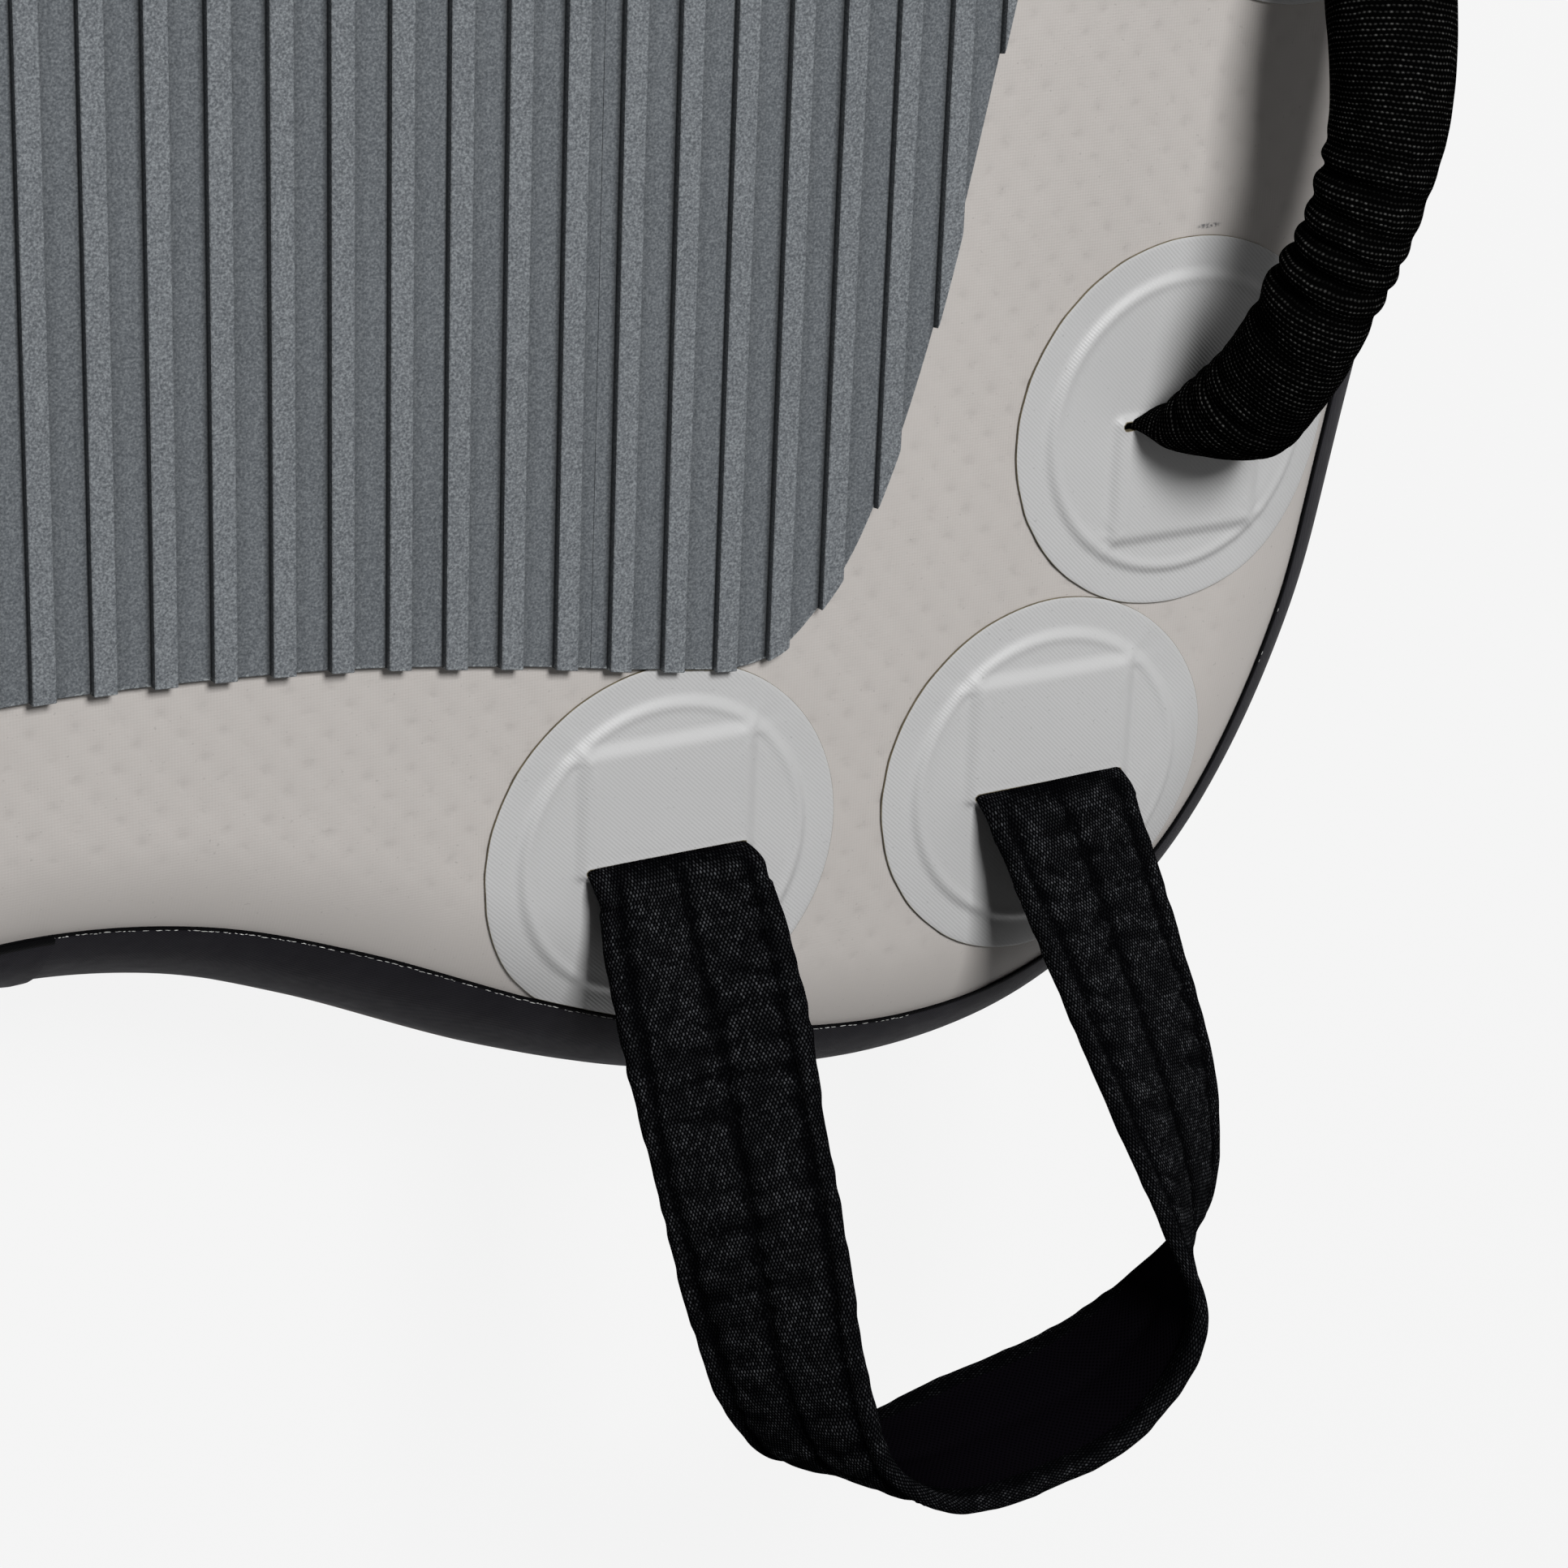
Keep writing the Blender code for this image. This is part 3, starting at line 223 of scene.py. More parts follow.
SLEEVE_SEEDS = {"aft": 3, "forward": 13}

# D-rings
RING_PLACE = (0.300, 0.700)
RING_TILT = 0.2247
RING_GROUND = 0.14986
RING_AXIS_RISE = 0.0062
RING_WIRE = 0.0025
RING_HALF_WIDTH = 0.0275
RING_REACH = 0.036
RING_LEG = 0.010
RING_CORNER = 0.005
KEEPER_HALF = 0.019
KEEPER_SHEET = 0.0011

# Inflation valve
CAP_RADIUS = 0.0225
CAP_TOP = 0.1321
CAP_RIDGES = 36
CAP_RIDGE_DEPTH = 0.0007
GRIP_BASE = 0.1309
GRIP_HALF_LENGTH = 0.0183
GRIP_HALF_WIDTH = 0.0020

# Camera: place and axes that match the photograph's frame
CAMERA_PLACE = (-0.3854, -0.2605, 1.170)
CAMERA_RIGHT = (0.86862, 0.03842, 0.49398)
CAMERA_UP = (0.16333, 0.91906, -0.35868)
LENS = 102.5
SENSOR = 36.0

# Light and floor
LIT_MIDDLE = (0.25, -0.55, 0.10)
DOME_STRENGTH = 0.05
BACKDROP = 0.922
FLOOR_SHOWN = 0.96
FLOOR_PALE = 0.86
FLOOR_RADIUS = 9
FLOOR_DROP = 0.0004


# Camera, light and floor


def make_camera():
    right, up = Vector(CAMERA_RIGHT), Vector(CAMERA_UP)
    rotation = Matrix((right, up, right.cross(up))).transposed()
    data = bpy.data.cameras.new("camera")
    data.lens = LENS
    data.sensor_width = SENSOR
    data.clip_start = 0.02
    data.clip_end = 40.0
    camera = bpy.data.objects.new("camera", data)
    camera.matrix_world = Matrix.Translation(CAMERA_PLACE) @ rotation.to_4x4()
    bpy.context.scene.collection.objects.link(camera)
    bpy.context.scene.camera = camera


def area_light(name, direction, distance, size, power):
    """A square soft box that faces the lit corner from this direction."""
    data = bpy.data.lights.new(name, "AREA")
    data.size = size
    data.energy = power
    light = bpy.data.objects.new(name, data)
    away = Vector(direction).normalized()
    light.location = Vector(LIT_MIDDLE) + away * distance
    light.rotation_mode = "QUATERNION"
    light.rotation_quaternion = away.to_track_quat("Z", "Y")
    bpy.context.scene.collection.objects.link(light)


def seen_directly(tree):
    """1 for rays that come from the camera or a reflection, 0 for rays that gather light."""
    path = tree.nodes.new("ShaderNodeLightPath")
    total = path.outputs["Is Camera Ray"]
    for name in ("Is Glossy Ray", "Is Transmission Ray"):
        larger = tree.nodes.new("ShaderNodeMath")
        larger.operation = "MAXIMUM"
        tree.links.new(total, larger.inputs[0])
        tree.links.new(path.outputs[name], larger.inputs[1])
        total = larger.outputs[0]
    return total


def show_backdrop(tree, share, lit, kind, output):
    """Shows the backdrop's tone in place of the lit shader, by this share."""
    shown = tree.nodes.new(kind)
    shown.inputs["Color"].default_value = (BACKDROP, BACKDROP, BACKDROP, 1)
    mix = tree.nodes.new("ShaderNodeMixShader")
    for socket, source in enumerate((share, lit.outputs[0], shown.outputs[0])):
        tree.links.new(source, mix.inputs[socket])
    tree.links.new(mix.outputs[0], tree.nodes[output].inputs["Surface"])


def make_world():
    world = bpy.data.worlds.new("studio")
    world.use_nodes = True
    bpy.context.scene.world = world
    tree = world.node_tree
    dome = tree.nodes["Background"]
    dome.inputs["Color"].default_value = (1, 1, 1, 1)
    dome.inputs["Strength"].default_value = DOME_STRENGTH
    show_backdrop(tree, seen_directly(tree), dome, "ShaderNodeBackground", "World Output")


def make_floor():
    """A wide pale floor that takes a faint shadow."""
    mesh = bpy.data.meshes.new("floor")
    floor = bpy.data.objects.new("floor", mesh)
    bm = bmesh.new()
    bmesh.ops.create_circle(bm, cap_ends=True, radius=FLOOR_RADIUS, segments=48)
    bm.to_mesh(mesh)
    bm.free()
    floor.location.z = -FLOOR_DROP
    finish = Finish("floor_paint", 0.9, specular=0.1)
    finish.colour((FLOOR_PALE, FLOOR_PALE, FLOOR_PALE, 1))
    tree = finish.material.node_tree
    share = finish.times(seen_directly(tree), FLOOR_SHOWN)
    show_backdrop(tree, share, finish.shader, "ShaderNodeEmission", "Material Output")
    mesh.materials.append(finish.material)
    bpy.context.scene.collection.objects.link(floor)


def make_studio():
    make_camera()
    make_world()
    make_floor()
    area_light("key", (-0.05, 0.62, 1.0), 3.2, 0.95, 111)
    area_light("fill", (0.9, -0.4, 1.0), 3.5, 2.4, 3)
    bpy.context.scene.view_settings.view_transform = "Standard"


# Materials


def paint(red, green, blue):
    """A colour read off the photograph, 0 to 255, as the shader takes it."""
    shares = [value / 255 for value in (red, green, blue)]
    linear = [s / 12.92 if s <= 0.04045 else ((s + 0.055) / 1.055) ** 2.4 for s in shares]
    return (*linear, 1.0)


def shaded(colour, share):
    return tuple(min(1.0, c * share) for c in colour[:3]) + (1.0,)


class Finish:
    """A material under construction. Its methods add nodes and return the socket that holds their result."""

    def __init__(self, name, roughness, metallic=0.0, specular=0.5):
        self.material = bpy.data.materials.new(name)
        self.material.use_nodes = True
        self.nodes = self.material.node_tree.nodes
        self.links = self.material.node_tree.links
        self.shader = self.nodes["Principled BSDF"]
        self.shader.inputs["Roughness"].default_value = roughness
        self.shader.inputs["Metallic"].default_value = metallic
        self.shader.inputs["Specular IOR Level"].default_value = specular

    def put(self, value, socket):
        if isinstance(value, bpy.types.NodeSocket):
            self.links.new(value, socket)
        else:
            socket.default_value = value

    def node(self, kind, inputs=(), output=0, **settings):
        """A new node's output; `inputs` gives its sockets' values by name or number."""
        node = self.nodes.new("ShaderNode" + kind)
        for key, value in settings.items():
            setattr(node, key, value)
        for socket, value in dict(inputs).items():
            self.put(value, node.inputs[socket])
        return node.outputs[output]

    def place(self):
        """Where a point is on the piece, in metres."""
        return self.node("TexCoord", output="Object")

    def weave_map(self):
        """Metres along and across the cloth."""
        return self.node("UVMap", uv_map=UV_MAP)

    def attribute(self, name):
        return self.node("Attribute", output="Fac", attribute_name=name)

    def parts(self, vector):
        return self.node("SeparateXYZ", {0: vector}).node.outputs[:]

    def math(self, operation, *values):
        return self.node("Math", enumerate(values), operation=operation)

    def add(self, *values):
        return functools.reduce(functools.partial(self.math, "ADD"), values)

    def times(self, *values):
        return functools.reduce(functools.partial(self.math, "MULTIPLY"), values)

    def between(self, value, low, high):
        """0 below the first limit, 1 above the second, smooth in the middle."""
        inputs = {"Value": value, "From Min": low, "From Max": high}
        return self.node("MapRange", inputs, interpolation_type="SMOOTHSTEP")

    def noise(self, vector, size, detail=2.0, roughness=0.5):
        """Cloudy noise whose blobs are about this many metres across."""
        inputs = {"Vector": vector, "Scale": 1 / size, "Detail": detail, "Roughness": roughness}
        return self.node("TexNoise", inputs, "Fac")

    def mix(self, share, first, second):
        return self.node("Mix", {"Factor": share, "A": first, "B": second}, 2, data_type="RGBA")

    def ripple(self, value, pitch):
        """A wave from -1 to 1 that repeats at this pitch."""
        return self.math("SINE", self.times(value, 2 * math.pi / pitch))

    def cell(self, value, pitch, start):
        """Where in its cell a value lies, from -0.5 to 0.5."""
        return self.add(self.math("FRACT", self.add(self.times(value, 1 / pitch), start)), -0.5)

    def bell(self, u, v, fall):
        """1 where both values are 0, lower on all sides."""
        square = self.add(self.times(u, u), self.times(v, v))
        return self.math("EXPONENT", self.times(square, fall))

    def mottled(self, base, place, size, amount):
        """The base colour, a little darker and lighter in clouds."""
        share = self.between(self.noise(place, size, 3.0), 0.3, 0.7)
        return self.mix(share, shaded(base, 1 - amount), shaded(base, 1 + amount))

    def colour(self, value):
        self.put(value, self.shader.inputs["Base Color"])

    def over(self, share, colour):
        """Lays a colour over what the finish has, by this share."""
        self.colour(self.mix(share, self.shader.inputs["Base Color"].links[0].from_socket, colour))

    def bump(self, height, distance):
        """Height from 0 to 1 raises the surface by this many metres."""
        normal = self.shader.inputs["Normal"]
        before = {"Normal": link.from_socket for link in normal.links}
        self.put(self.node("Bump", {"Distance": distance, "Height": height, **before}), normal)


def coated_cloth(name, base, roughness, grid, slanted=False):
    """PVC coated fabric: its base cloth's grid shows softly through the coat, with a few specks of grime."""
    finish = Finish(name, roughness, specular=0.35)
    place = finish.place()
    x, y, _ = finish.parts(place)
    if slanted:
        x, y = finish.add(x, y), finish.add(x, finish.times(y, -1.0))
    warp = finish.times(finish.ripple(x, grid), 0.38 if slanted else 0.25)
    weft = finish.times(finish.ripple(y, grid), 0.12 if slanted else 0.25)
    threads = finish.add(warp, weft)
    finish.colour(finish.mottled(base, place, 0.030, 0.012))
    finish.over(finish.times(finish.add(threads, 0.5), 0.22), shaded(base, 0.90))
    specks = finish.between(finish.noise(place, 0.0013, 1.0), 0.735, 0.78)
    finish.over(finish.times(specks, 0.30), shaded(base, 0.45))
    return finish, place, threads


def deck_fabric():
    """Warm pale cloth with the threads' dimples, uneven as they pull and darkened with painted shade, and one
    scuff.
    """
    finish, place, threads = coated_cloth("deck_pvc", paint(190, 185, 181), 0.50, 0.0009)
    x, y, _ = finish.parts(place)
    x = finish.add(x, finish.times(finish.add(finish.noise(place, 0.011), -0.5), 0.0045))
    y = finish.add(y, finish.times(finish.add(finish.noise(place, 0.008), -0.5), 0.0035))
    dents = 0.0
    for shift in (0.0, 0.5):
        across = finish.times(finish.cell(x, DIMPLE_PITCH, 20.5 + shift), DIMPLE_PITCH / DIMPLE_RADIUS)
        along = finish.times(finish.cell(y, 2 * DIMPLE_ROW, 200.5 + shift), 2 * DIMPLE_ROW / DIMPLE_RADIUS)
        dents = finish.add(finish.bell(across, along, -1.0), dents)
    pulled = finish.between(finish.noise(place, 0.0055), 0.30, 0.62)
    dents = finish.times(dents, pulled, finish.attribute("inland"))
    # Painted shade: each dimple is coloured darker.
    finish.over(finish.times(dents, 0.17), paint(150, 145, 142))
    off = finish.node("Mapping", {"Vector": place, "Location": (-SCUFF[0], -SCUFF[1], 0)})
    squares = []
    for value, half in zip(finish.parts(off), SCUFF_HALF):
        squares.append(finish.math("POWER", finish.math("ABSOLUTE", finish.times(value, 1 / half)), 2.0))
    smear = finish.math("SUBTRACT", 1.0, finish.between(finish.add(*squares), 0.2, 1.6))
    smear = finish.times(smear, finish.between(finish.noise(place, 0.0012, 3.0), 0.35, 0.60))
    finish.over(finish.times(smear, 0.9), paint(84, 84, 87))
    finish.bump(threads, 0.00003)
    finish.bump(finish.times(dents, -1.0), 0.00013)
    return finish.material


def bottom_fabric():
    finish, _, threads = coated_cloth("bottom_pvc", paint(120, 120, 122), 0.52, 0.0009)
    finish.bump(threads, 0.00003)
    return finish.material


def patch_fabric():
    """Cooler than the deck, with a slanting grid, and glue along its cut edge."""
    finish, place, threads = coated_cloth("patch_pvc", paint(191, 191, 191), 0.46, 0.0014, slanted=True)
    glue = finish.mix(finish.noise(place, 0.004, 3.0), paint(58, 52, 38), paint(140, 130, 104))
    finish.over(finish.between(finish.attribute("wall"), 0.55, 0.9), glue)
    finish.bump(threads, 0.00006)
    return finish.material


def tape_fabric():
    """Satin charcoal tape with a fine slanting grid, browner below the upper strip's edge, with painted shade
    along that edge and a painted shadow line along both edges of the tape.
    """
    finish = Finish("rail_tape_pvc", 0.45, specular=0.03)
    along, girth, _ = finish.parts(finish.weave_map())
    place = finish.place()
    slant = finish.ripple(finish.add(along, girth), 0.0012)
    other = finish.ripple(finish.add(along, finish.times(girth, -1.0)), 0.0012)
    grid = finish.add(finish.times(slant, 0.12), finish.times(other, 0.38))
    upper = finish.mottled(paint(29, 28, 33), place, 0.02, 0.12)
    lower = finish.mottled(paint(56, 49, 48), place, 0.02, 0.12)
    below = finish.between(finish.times(girth, -1.0), -TAPE_STEP - 0.0004, -TAPE_STEP + 0.0004)
    finish.colour(finish.mix(below, upper, lower))
    # Painted shade: a dark line along the step where the upper strip's edge laps the lower one.
    line = finish.math("ABSOLUTE", finish.add(girth, -TAPE_STEP))
    finish.over(finish.between(line, 0.0012, 0.0003), paint(20, 19, 22))
    finish.over(finish.times(finish.add(grid, 0.5), 0.35), paint(20, 19, 22))
    # Painted shadow: a near-black line along both edges of the tape, where it meets the hull's skin.
    finish.over(finish.between(finish.math("ABSOLUTE", girth), 0.0632, 0.0636), paint(5, 5, 6))
    finish.bump(grid, 0.00006)
    scuffs = finish.times(finish.noise(place, 0.006, 4.0, 0.6), 0.2)
    finish.put(finish.add(scuffs, 0.46), finish.shader.inputs["Roughness"])
    return finish.material


def eva_foam():
    """Grainy closed-cell foam, with painted shade in the valleys, on the ribs' port walls and beside their
    starboard feet, and pale crumbs where the blade cut it.
    """
    finish = Finish("eva", 0.9, specular=0.12)
    place = finish.place()
    _, _, height = finish.parts(place)
    grain = finish.noise(place, 0.0007, 2.0, 0.6)
    finish.colour(finish.mottled(paint(113, 117, 121), place, 0.05, 0.03))
    finish.over(finish.times(finish.between(grain, 0.50, 0.66), 0.55), paint(158, 163, 166))
    finish.over(finish.times(finish.between(grain, 0.48, 0.34), 0.60), paint(66, 70, 74))
    # Painted shade: the valleys between the ribs are darker than the rib tops.
    valley_shade = finish.between(height, PAD_TOP - 0.0006, PAD_VALLEY + 0.0004)
    finish.over(finish.times(valley_shade, 0.30), paint(80, 85, 90))
    # Painted shade on each rib's port wall and in the corner beside its starboard foot.
    finish.over(finish.times(finish.attribute("rib_shade"), 0.85), paint(34, 36, 38))
    crumbs = finish.between(finish.noise(place, 0.0009, 2.0, 0.7), 0.50, 0.62)
    finish.over(finish.times(finish.attribute("cut"), crumbs, 0.7), paint(172, 178, 180))
    finish.bump(grain, 0.00012)
    return finish.material


def woven(name, dark, thread, pitch, row, float_along, float_across):
    """Oxford cloth: staggered threads, `row` apart along the cloth, their light colour a painted glint.

    Each glint shows over these shares of its cell, less in the folds: painted shade dims it there and painted
    sheen keeps it bright on the crests.
    """
    finish = Finish(name, 0.75, specular=0.0)
    along, across, _ = finish.parts(finish.weave_map())
    place = finish.place()
    drift = finish.times(finish.add(finish.noise(place, 0.012), -0.5), row * 1.2)
    rows = finish.times(finish.add(along, drift), 1 / row)
    number = finish.math("FLOOR", rows)
    lag = finish.times(finish.math("FLOORED_MODULO", number, 2.0), 0.5)
    steps = finish.add(finish.times(across, 1 / pitch), lag)
    in_row = finish.add(finish.math("FRACT", rows), -0.5)
    in_step = finish.add(finish.math("FRACT", steps), -0.5)
    along_thread = finish.times(in_row, in_row, 4 / float_along**2)
    across_thread = finish.times(in_step, in_step, 4 / float_across**2)
    dot = finish.math("EXPONENT", finish.times(finish.add(along_thread, across_thread), -1.0))
    cell = finish.node("CombineXYZ", {0: number, 1: finish.math("FLOOR", steps)})
    chance = finish.node("TexWhiteNoise", {"Vector": cell}, "Value", noise_dimensions="2D")
    patchy = finish.between(finish.noise(place, 0.007), 0.30, 0.60)
    share = finish.add(finish.times(chance, chance, patchy, 0.84), 0.16)
    # Painted sheen and shade: the mark keeps the glints bright on crests and dims them in folds and grooves.
    painted_sheen = finish.add(finish.times(finish.attribute("painted_sheen"), 0.85), 0.15)
    finish.colour(finish.mix(finish.times(dot, finish.times(share, painted_sheen)), dark, thread))
    finish.bump(dot, 0.00016)
    return finish.material


def neoprene():
    """Soft dark liner with a close pattern of pin holes, darkened with painted shade."""
    finish = Finish("liner_neoprene", 0.85, specular=0.0)
    along, across, _ = finish.parts(finish.weave_map())
    holes = 0.0
    for shift in (0.0, 0.5):
        u, v = (finish.cell(value, HOLE_PITCH, shift) for value in (along, across))
        holes = finish.add(finish.bell(u, v, -30.0), holes)
    # Painted shade: the pin holes are coloured darker than the liner.
    finish.colour(finish.mix(holes, paint(10, 8, 12), paint(3, 3, 4)))
    finish.bump(finish.times(holes, -1.0), 0.00020)
    return finish.material


def plain(name, base, roughness, grain_size, grain_height, metallic=0.0, amount=0.06, specular=0.5):
    """A grained finish: clouds of colour and a fine bump."""
    finish = Finish(name, roughness, metallic, specular)
    place = finish.place()
    finish.colour(finish.mottled(base, place, grain_size * 20, amount))
    finish.bump(finish.noise(place, grain_size, 3.0, 0.6), grain_height)
    return finish.material


def make_materials():
    return {
        "deck_fabric": deck_fabric(),
        "bottom_fabric": bottom_fabric(),
        "rail_tape": tape_fabric(),
        "drop_stitch": plain("drop_stitch_cloth", paint(214, 213, 208), 0.85, 0.0006, 0.0002),
        "pad_foam": eva_foam(),
        "patch_fabric": patch_fabric(),
        "webbing": plain("black_webbing", paint(6, 6, 7), 0.8, 0.0012, 0.0004, specular=0.0),
        # The light second colour of each woven cloth is its painted thread glint.
        "woven_cover": woven("oxford", paint(3, 3, 4), paint(110, 112, 116), 0.00105, 0.00100, 0.66, 0.36),
        "sleeve_weave": woven(
            "sleeve_oxford", paint(3, 3, 3), paint(108, 108, 106), 0.00145, 0.00148, 0.26, 0.48
        ),
        "liner": neoprene(),
        "handle_foam": plain("grey_foam", paint(96, 96, 96), 0.95, 0.0005, 0.0004),
        "steel": plain("brushed_steel", (0.58, 0.58, 0.57, 1), 0.26, 0.0008, 0.00001, 1.0, 0.02),
        "valve_plastic": plain("moulded_plastic", paint(88, 89, 92), 0.42, 0.0004, 0.00003),
        "valve_rubber": plain("black_rubber", paint(34, 34, 35), 0.6, 0.0006, 0.00003),
        "thread": plain("black_thread", paint(12, 12, 13), 0.7, 0.0003, 0.00005, specular=0.0),
        "glue": plain("glue_line", paint(196, 196, 194), 0.7, 0.0006, 0.0001, 0.0, 0.25),
    }


# Curves and fields


def spline(given, closed=False, fine=24):
    """Many points along a smooth curve through the given ones."""
    given = np.array(given, float)
    if closed:
        padded = np.vstack([given[-1:], given, given[:2]])
    else:
        padded = np.vstack([2 * given[0] - given[1], given, 2 * given[-1] - given[-2]])
    steps = np.linspace(0, 1, fine, endpoint=False)[:, None]
    rows = []
    for k in range(len(padded) - 3):
        a, b, c, d = padded[k : k + 4]
        slope = (c - a) * steps + (2 * a - 5 * b + 4 * c - d) * steps**2
        rows.append(b + (slope + (3 * b - a - 3 * c + d) * steps**3) / 2)
    if not closed:
        rows.append(given[-1:])
    return np.vstack(rows)


def run_of(line):
    """How far along the line each of its points lies."""
    return np.concatenate([[0], np.cumsum(np.linalg.norm(np.diff(line, axis=0), axis=1))])


def sampled(line, along, places):
    """The line's values at these places along it."""
    return np.stack([np.interp(places, along, column) for column in line.T], axis=-1)


def spaced(line, count, closed=False):
    """`count` points at equal distances along the line."""
    if closed:
        line = np.vstack([line, line[:1]])
    along = run_of(line)
    return sampled(line, along, np.linspace(0, along[-1], count, endpoint=not closed))


def smooth(value, low, high):
    """0 at the first limit, 1 at the second, with no corners."""
    share = np.clip((value - low) / (high - low), 0, 1)
    return share * share * (3 - 2 * share)


def hill(value, middle, width):
    """1 at the middle, falling off on both sides."""
    return np.exp(-(((value - middle) / width) ** 2))


def unit(vectors):
    return vectors / np.linalg.norm(vectors, axis=-1, keepdims=True)


def square_to(vectors, ahead):
    """The directions, turned square to the way ahead."""
    return unit(vectors - (vectors * ahead).sum(axis=1, keepdims=True) * ahead)


def wander(place, seed):
    """A smooth curve through random heights from -1 to 1 at the whole numbers."""
    heights = np.random.default_rng(seed).uniform(-1, 1, 512)
    low = np.floor(place).astype(int)
    share = smooth(place - low, 0.0, 1.0)
    return heights[low % 512] * (1 - share) + heights[(low + 1) % 512] * share


def rumple(u, v, seed):
    """The same over a plane."""
    heights = np.random.default_rng(seed).uniform(-1, 1, (64, 64))
    low_u, low_v = np.floor(u).astype(int), np.floor(v).astype(int)
    a, b = smooth(u - low_u, 0.0, 1.0), smooth(v - low_v, 0.0, 1.0)
    near, far = (
        heights[(low_u + k) % 64, low_v % 64] * (1 - b) + heights[(low_u + k) % 64, (low_v + 1) % 64] * b
        for k in (0, 1)
    )
    return near * (1 - a) + far * a


class Outline:
    """A closed line round the middle, anticlockwise, with outward normals."""

    def __init__(self, half):
        fine = spline([*half, *[(-x, y) for x, y in half[-2:0:-1]]], closed=True)
        length = np.linalg.norm(np.diff(fine, axis=0), axis=1).sum()
        self.points = spaced(fine, int(length / OUTLINE_STEP), closed=True)
        run = unit(np.roll(self.points, -1, axis=0) - np.roll(self.points, 1, axis=0))
        self.normals = np.stack([run[:, 1], -run[:, 0]], axis=1)
        self.step = length / len(self.points)
        self.tree = KDTree(len(self.points))
        for k, (x, y) in enumerate(self.points):
            self.tree.insert((x, y, 0), k)
        self.tree.balance()

    def nearest(self, places):
        return np.array([self.tree.find((x, y, 0))[1] for x, y in places], int)

    def depth(self, places):
        """How far each place lies inside the line, negative outside."""
        near = self.nearest(places)
        return ((self.points[near] - places) * self.normals[near]).sum(axis=1)

    def pushed_in(self, places, least):
        """The places, with those that are too near the line moved in."""
        short = np.maximum(0, least - self.depth(places))
        return places - self.normals[self.nearest(places)] * short[:, None]


SEAM = Outline(SEAM_HALF)
PAD_LINE = Outline(PAD_HALF)


def lift(y):
    """The rocker's rise at this distance along the hull."""
    past = np.clip((np.asarray(y) - ROCKER_START) / (ROCKER_END - ROCKER_START), 0, 1.4)
    return ROCKER_RISE * past**2


def deck_height(places, depth=None):
    """The deck's outer face without its dimples."""
    depth = SEAM.depth(places) if depth is None else depth
    past = np.clip(FLAT_INSET - depth, 0, RAIL_RADIUS * 0.98)
    return HULL_THICKNESS + lift(places[:, 1]) - RAIL_RADIUS + np.sqrt(RAIL_RADIUS**2 - past**2)


def pad_edge(x, side=-1):
    """The pad's aft (-1) or forward (1) edge at this distance from the middle."""
    x = np.abs(np.asarray(x, float))
    line = PAD_LINE.points[PAD_LINE.points[:, 0] >= 0]
    widest = line[:, 0].argmax()
    branch = line[: widest + 1] if side < 0 else line[widest:]
    order = np.argsort(branch[:, 0])
    return np.interp(x, branch[order, 0], branch[order, 1])


# Meshes


def make_piece(name, points, blocks, slot, body, replaced=(), uv=None, marks=None, finish=None):
    """A piece from its points and blocks of faces, facing out, riding on its body in place of CAD nodes.

    `body` is a body's name, on which the piece rides; where it is two bodies and two points instead, the
    piece is only fixed in place.
    `uv` gives each block's corners, `marks` a value for each point under a name. `finish` is the material
    where it isn't the slot's own.
    """
    points = np.asarray(points, float)
    mesh = bpy.data.meshes.new(name)
    mesh.vertices.add(len(points))
    mesh.vertices.foreach_set("co", points.astype(np.float32).ravel())
    corners = np.concatenate([block.ravel() for block in blocks])
    sizes = np.concatenate([np.full(len(block), block.shape[1]) for block in blocks])
    mesh.loops.add(len(corners))
    mesh.loops.foreach_set("vertex_index", corners.astype(np.int32))
    mesh.polygons.add(len(sizes))
    starts = np.concatenate([[0], np.cumsum(sizes)[:-1]])
    mesh.polygons.foreach_set("loop_start", starts.astype(np.int32))
    mesh.update(calc_edges=True)
    if uv is not None:
        flat = np.concatenate([part.ravel() for part in uv])
        mesh.uv_layers.new(name=UV_MAP).uv.foreach_set("vector", flat.astype(np.float32))
    for mark, values in (marks or {}).items():
        data = mesh.attributes.new(mark, "FLOAT", "POINT").data
        data.foreach_set("value", np.asarray(values, np.float32).ravel())
    bm = bmesh.new()
    bm.from_mesh(mesh)
    bmesh.ops.recalc_face_normals(bm, faces=bm.faces)
    bm.to_mesh(mesh)
    bm.free()
    mesh.shade_smooth()
    mesh.set_sharp_from_angle(angle=SHARP_ANGLE)
    mesh.materials.append(MATERIALS[finish or slot])
    made = bpy.data.objects.new(name, mesh)
    bpy.context.scene.collection.objects.link(made)
    if isinstance(body, str):
        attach(made, body)
    else:
        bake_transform(made)
    if replaced:
        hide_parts(*replaced)
    return made


def grid(rows, columns, looped=False):
    """Quads over rings of points, and each corner's row and column, unwrapped.

    `looped` joins the last ring to the first.
    """
    r, c = np.mgrid[0 : rows - 1 + looped, 0:columns]
    r, c = r.ravel(), c.ravel()
    row = np.stack([r, r, r + 1, r + 1], axis=1)
    column = np.stack([c, c + 1, c + 1, c], axis=1)
    return (row % rows) * columns + column % columns, row, column


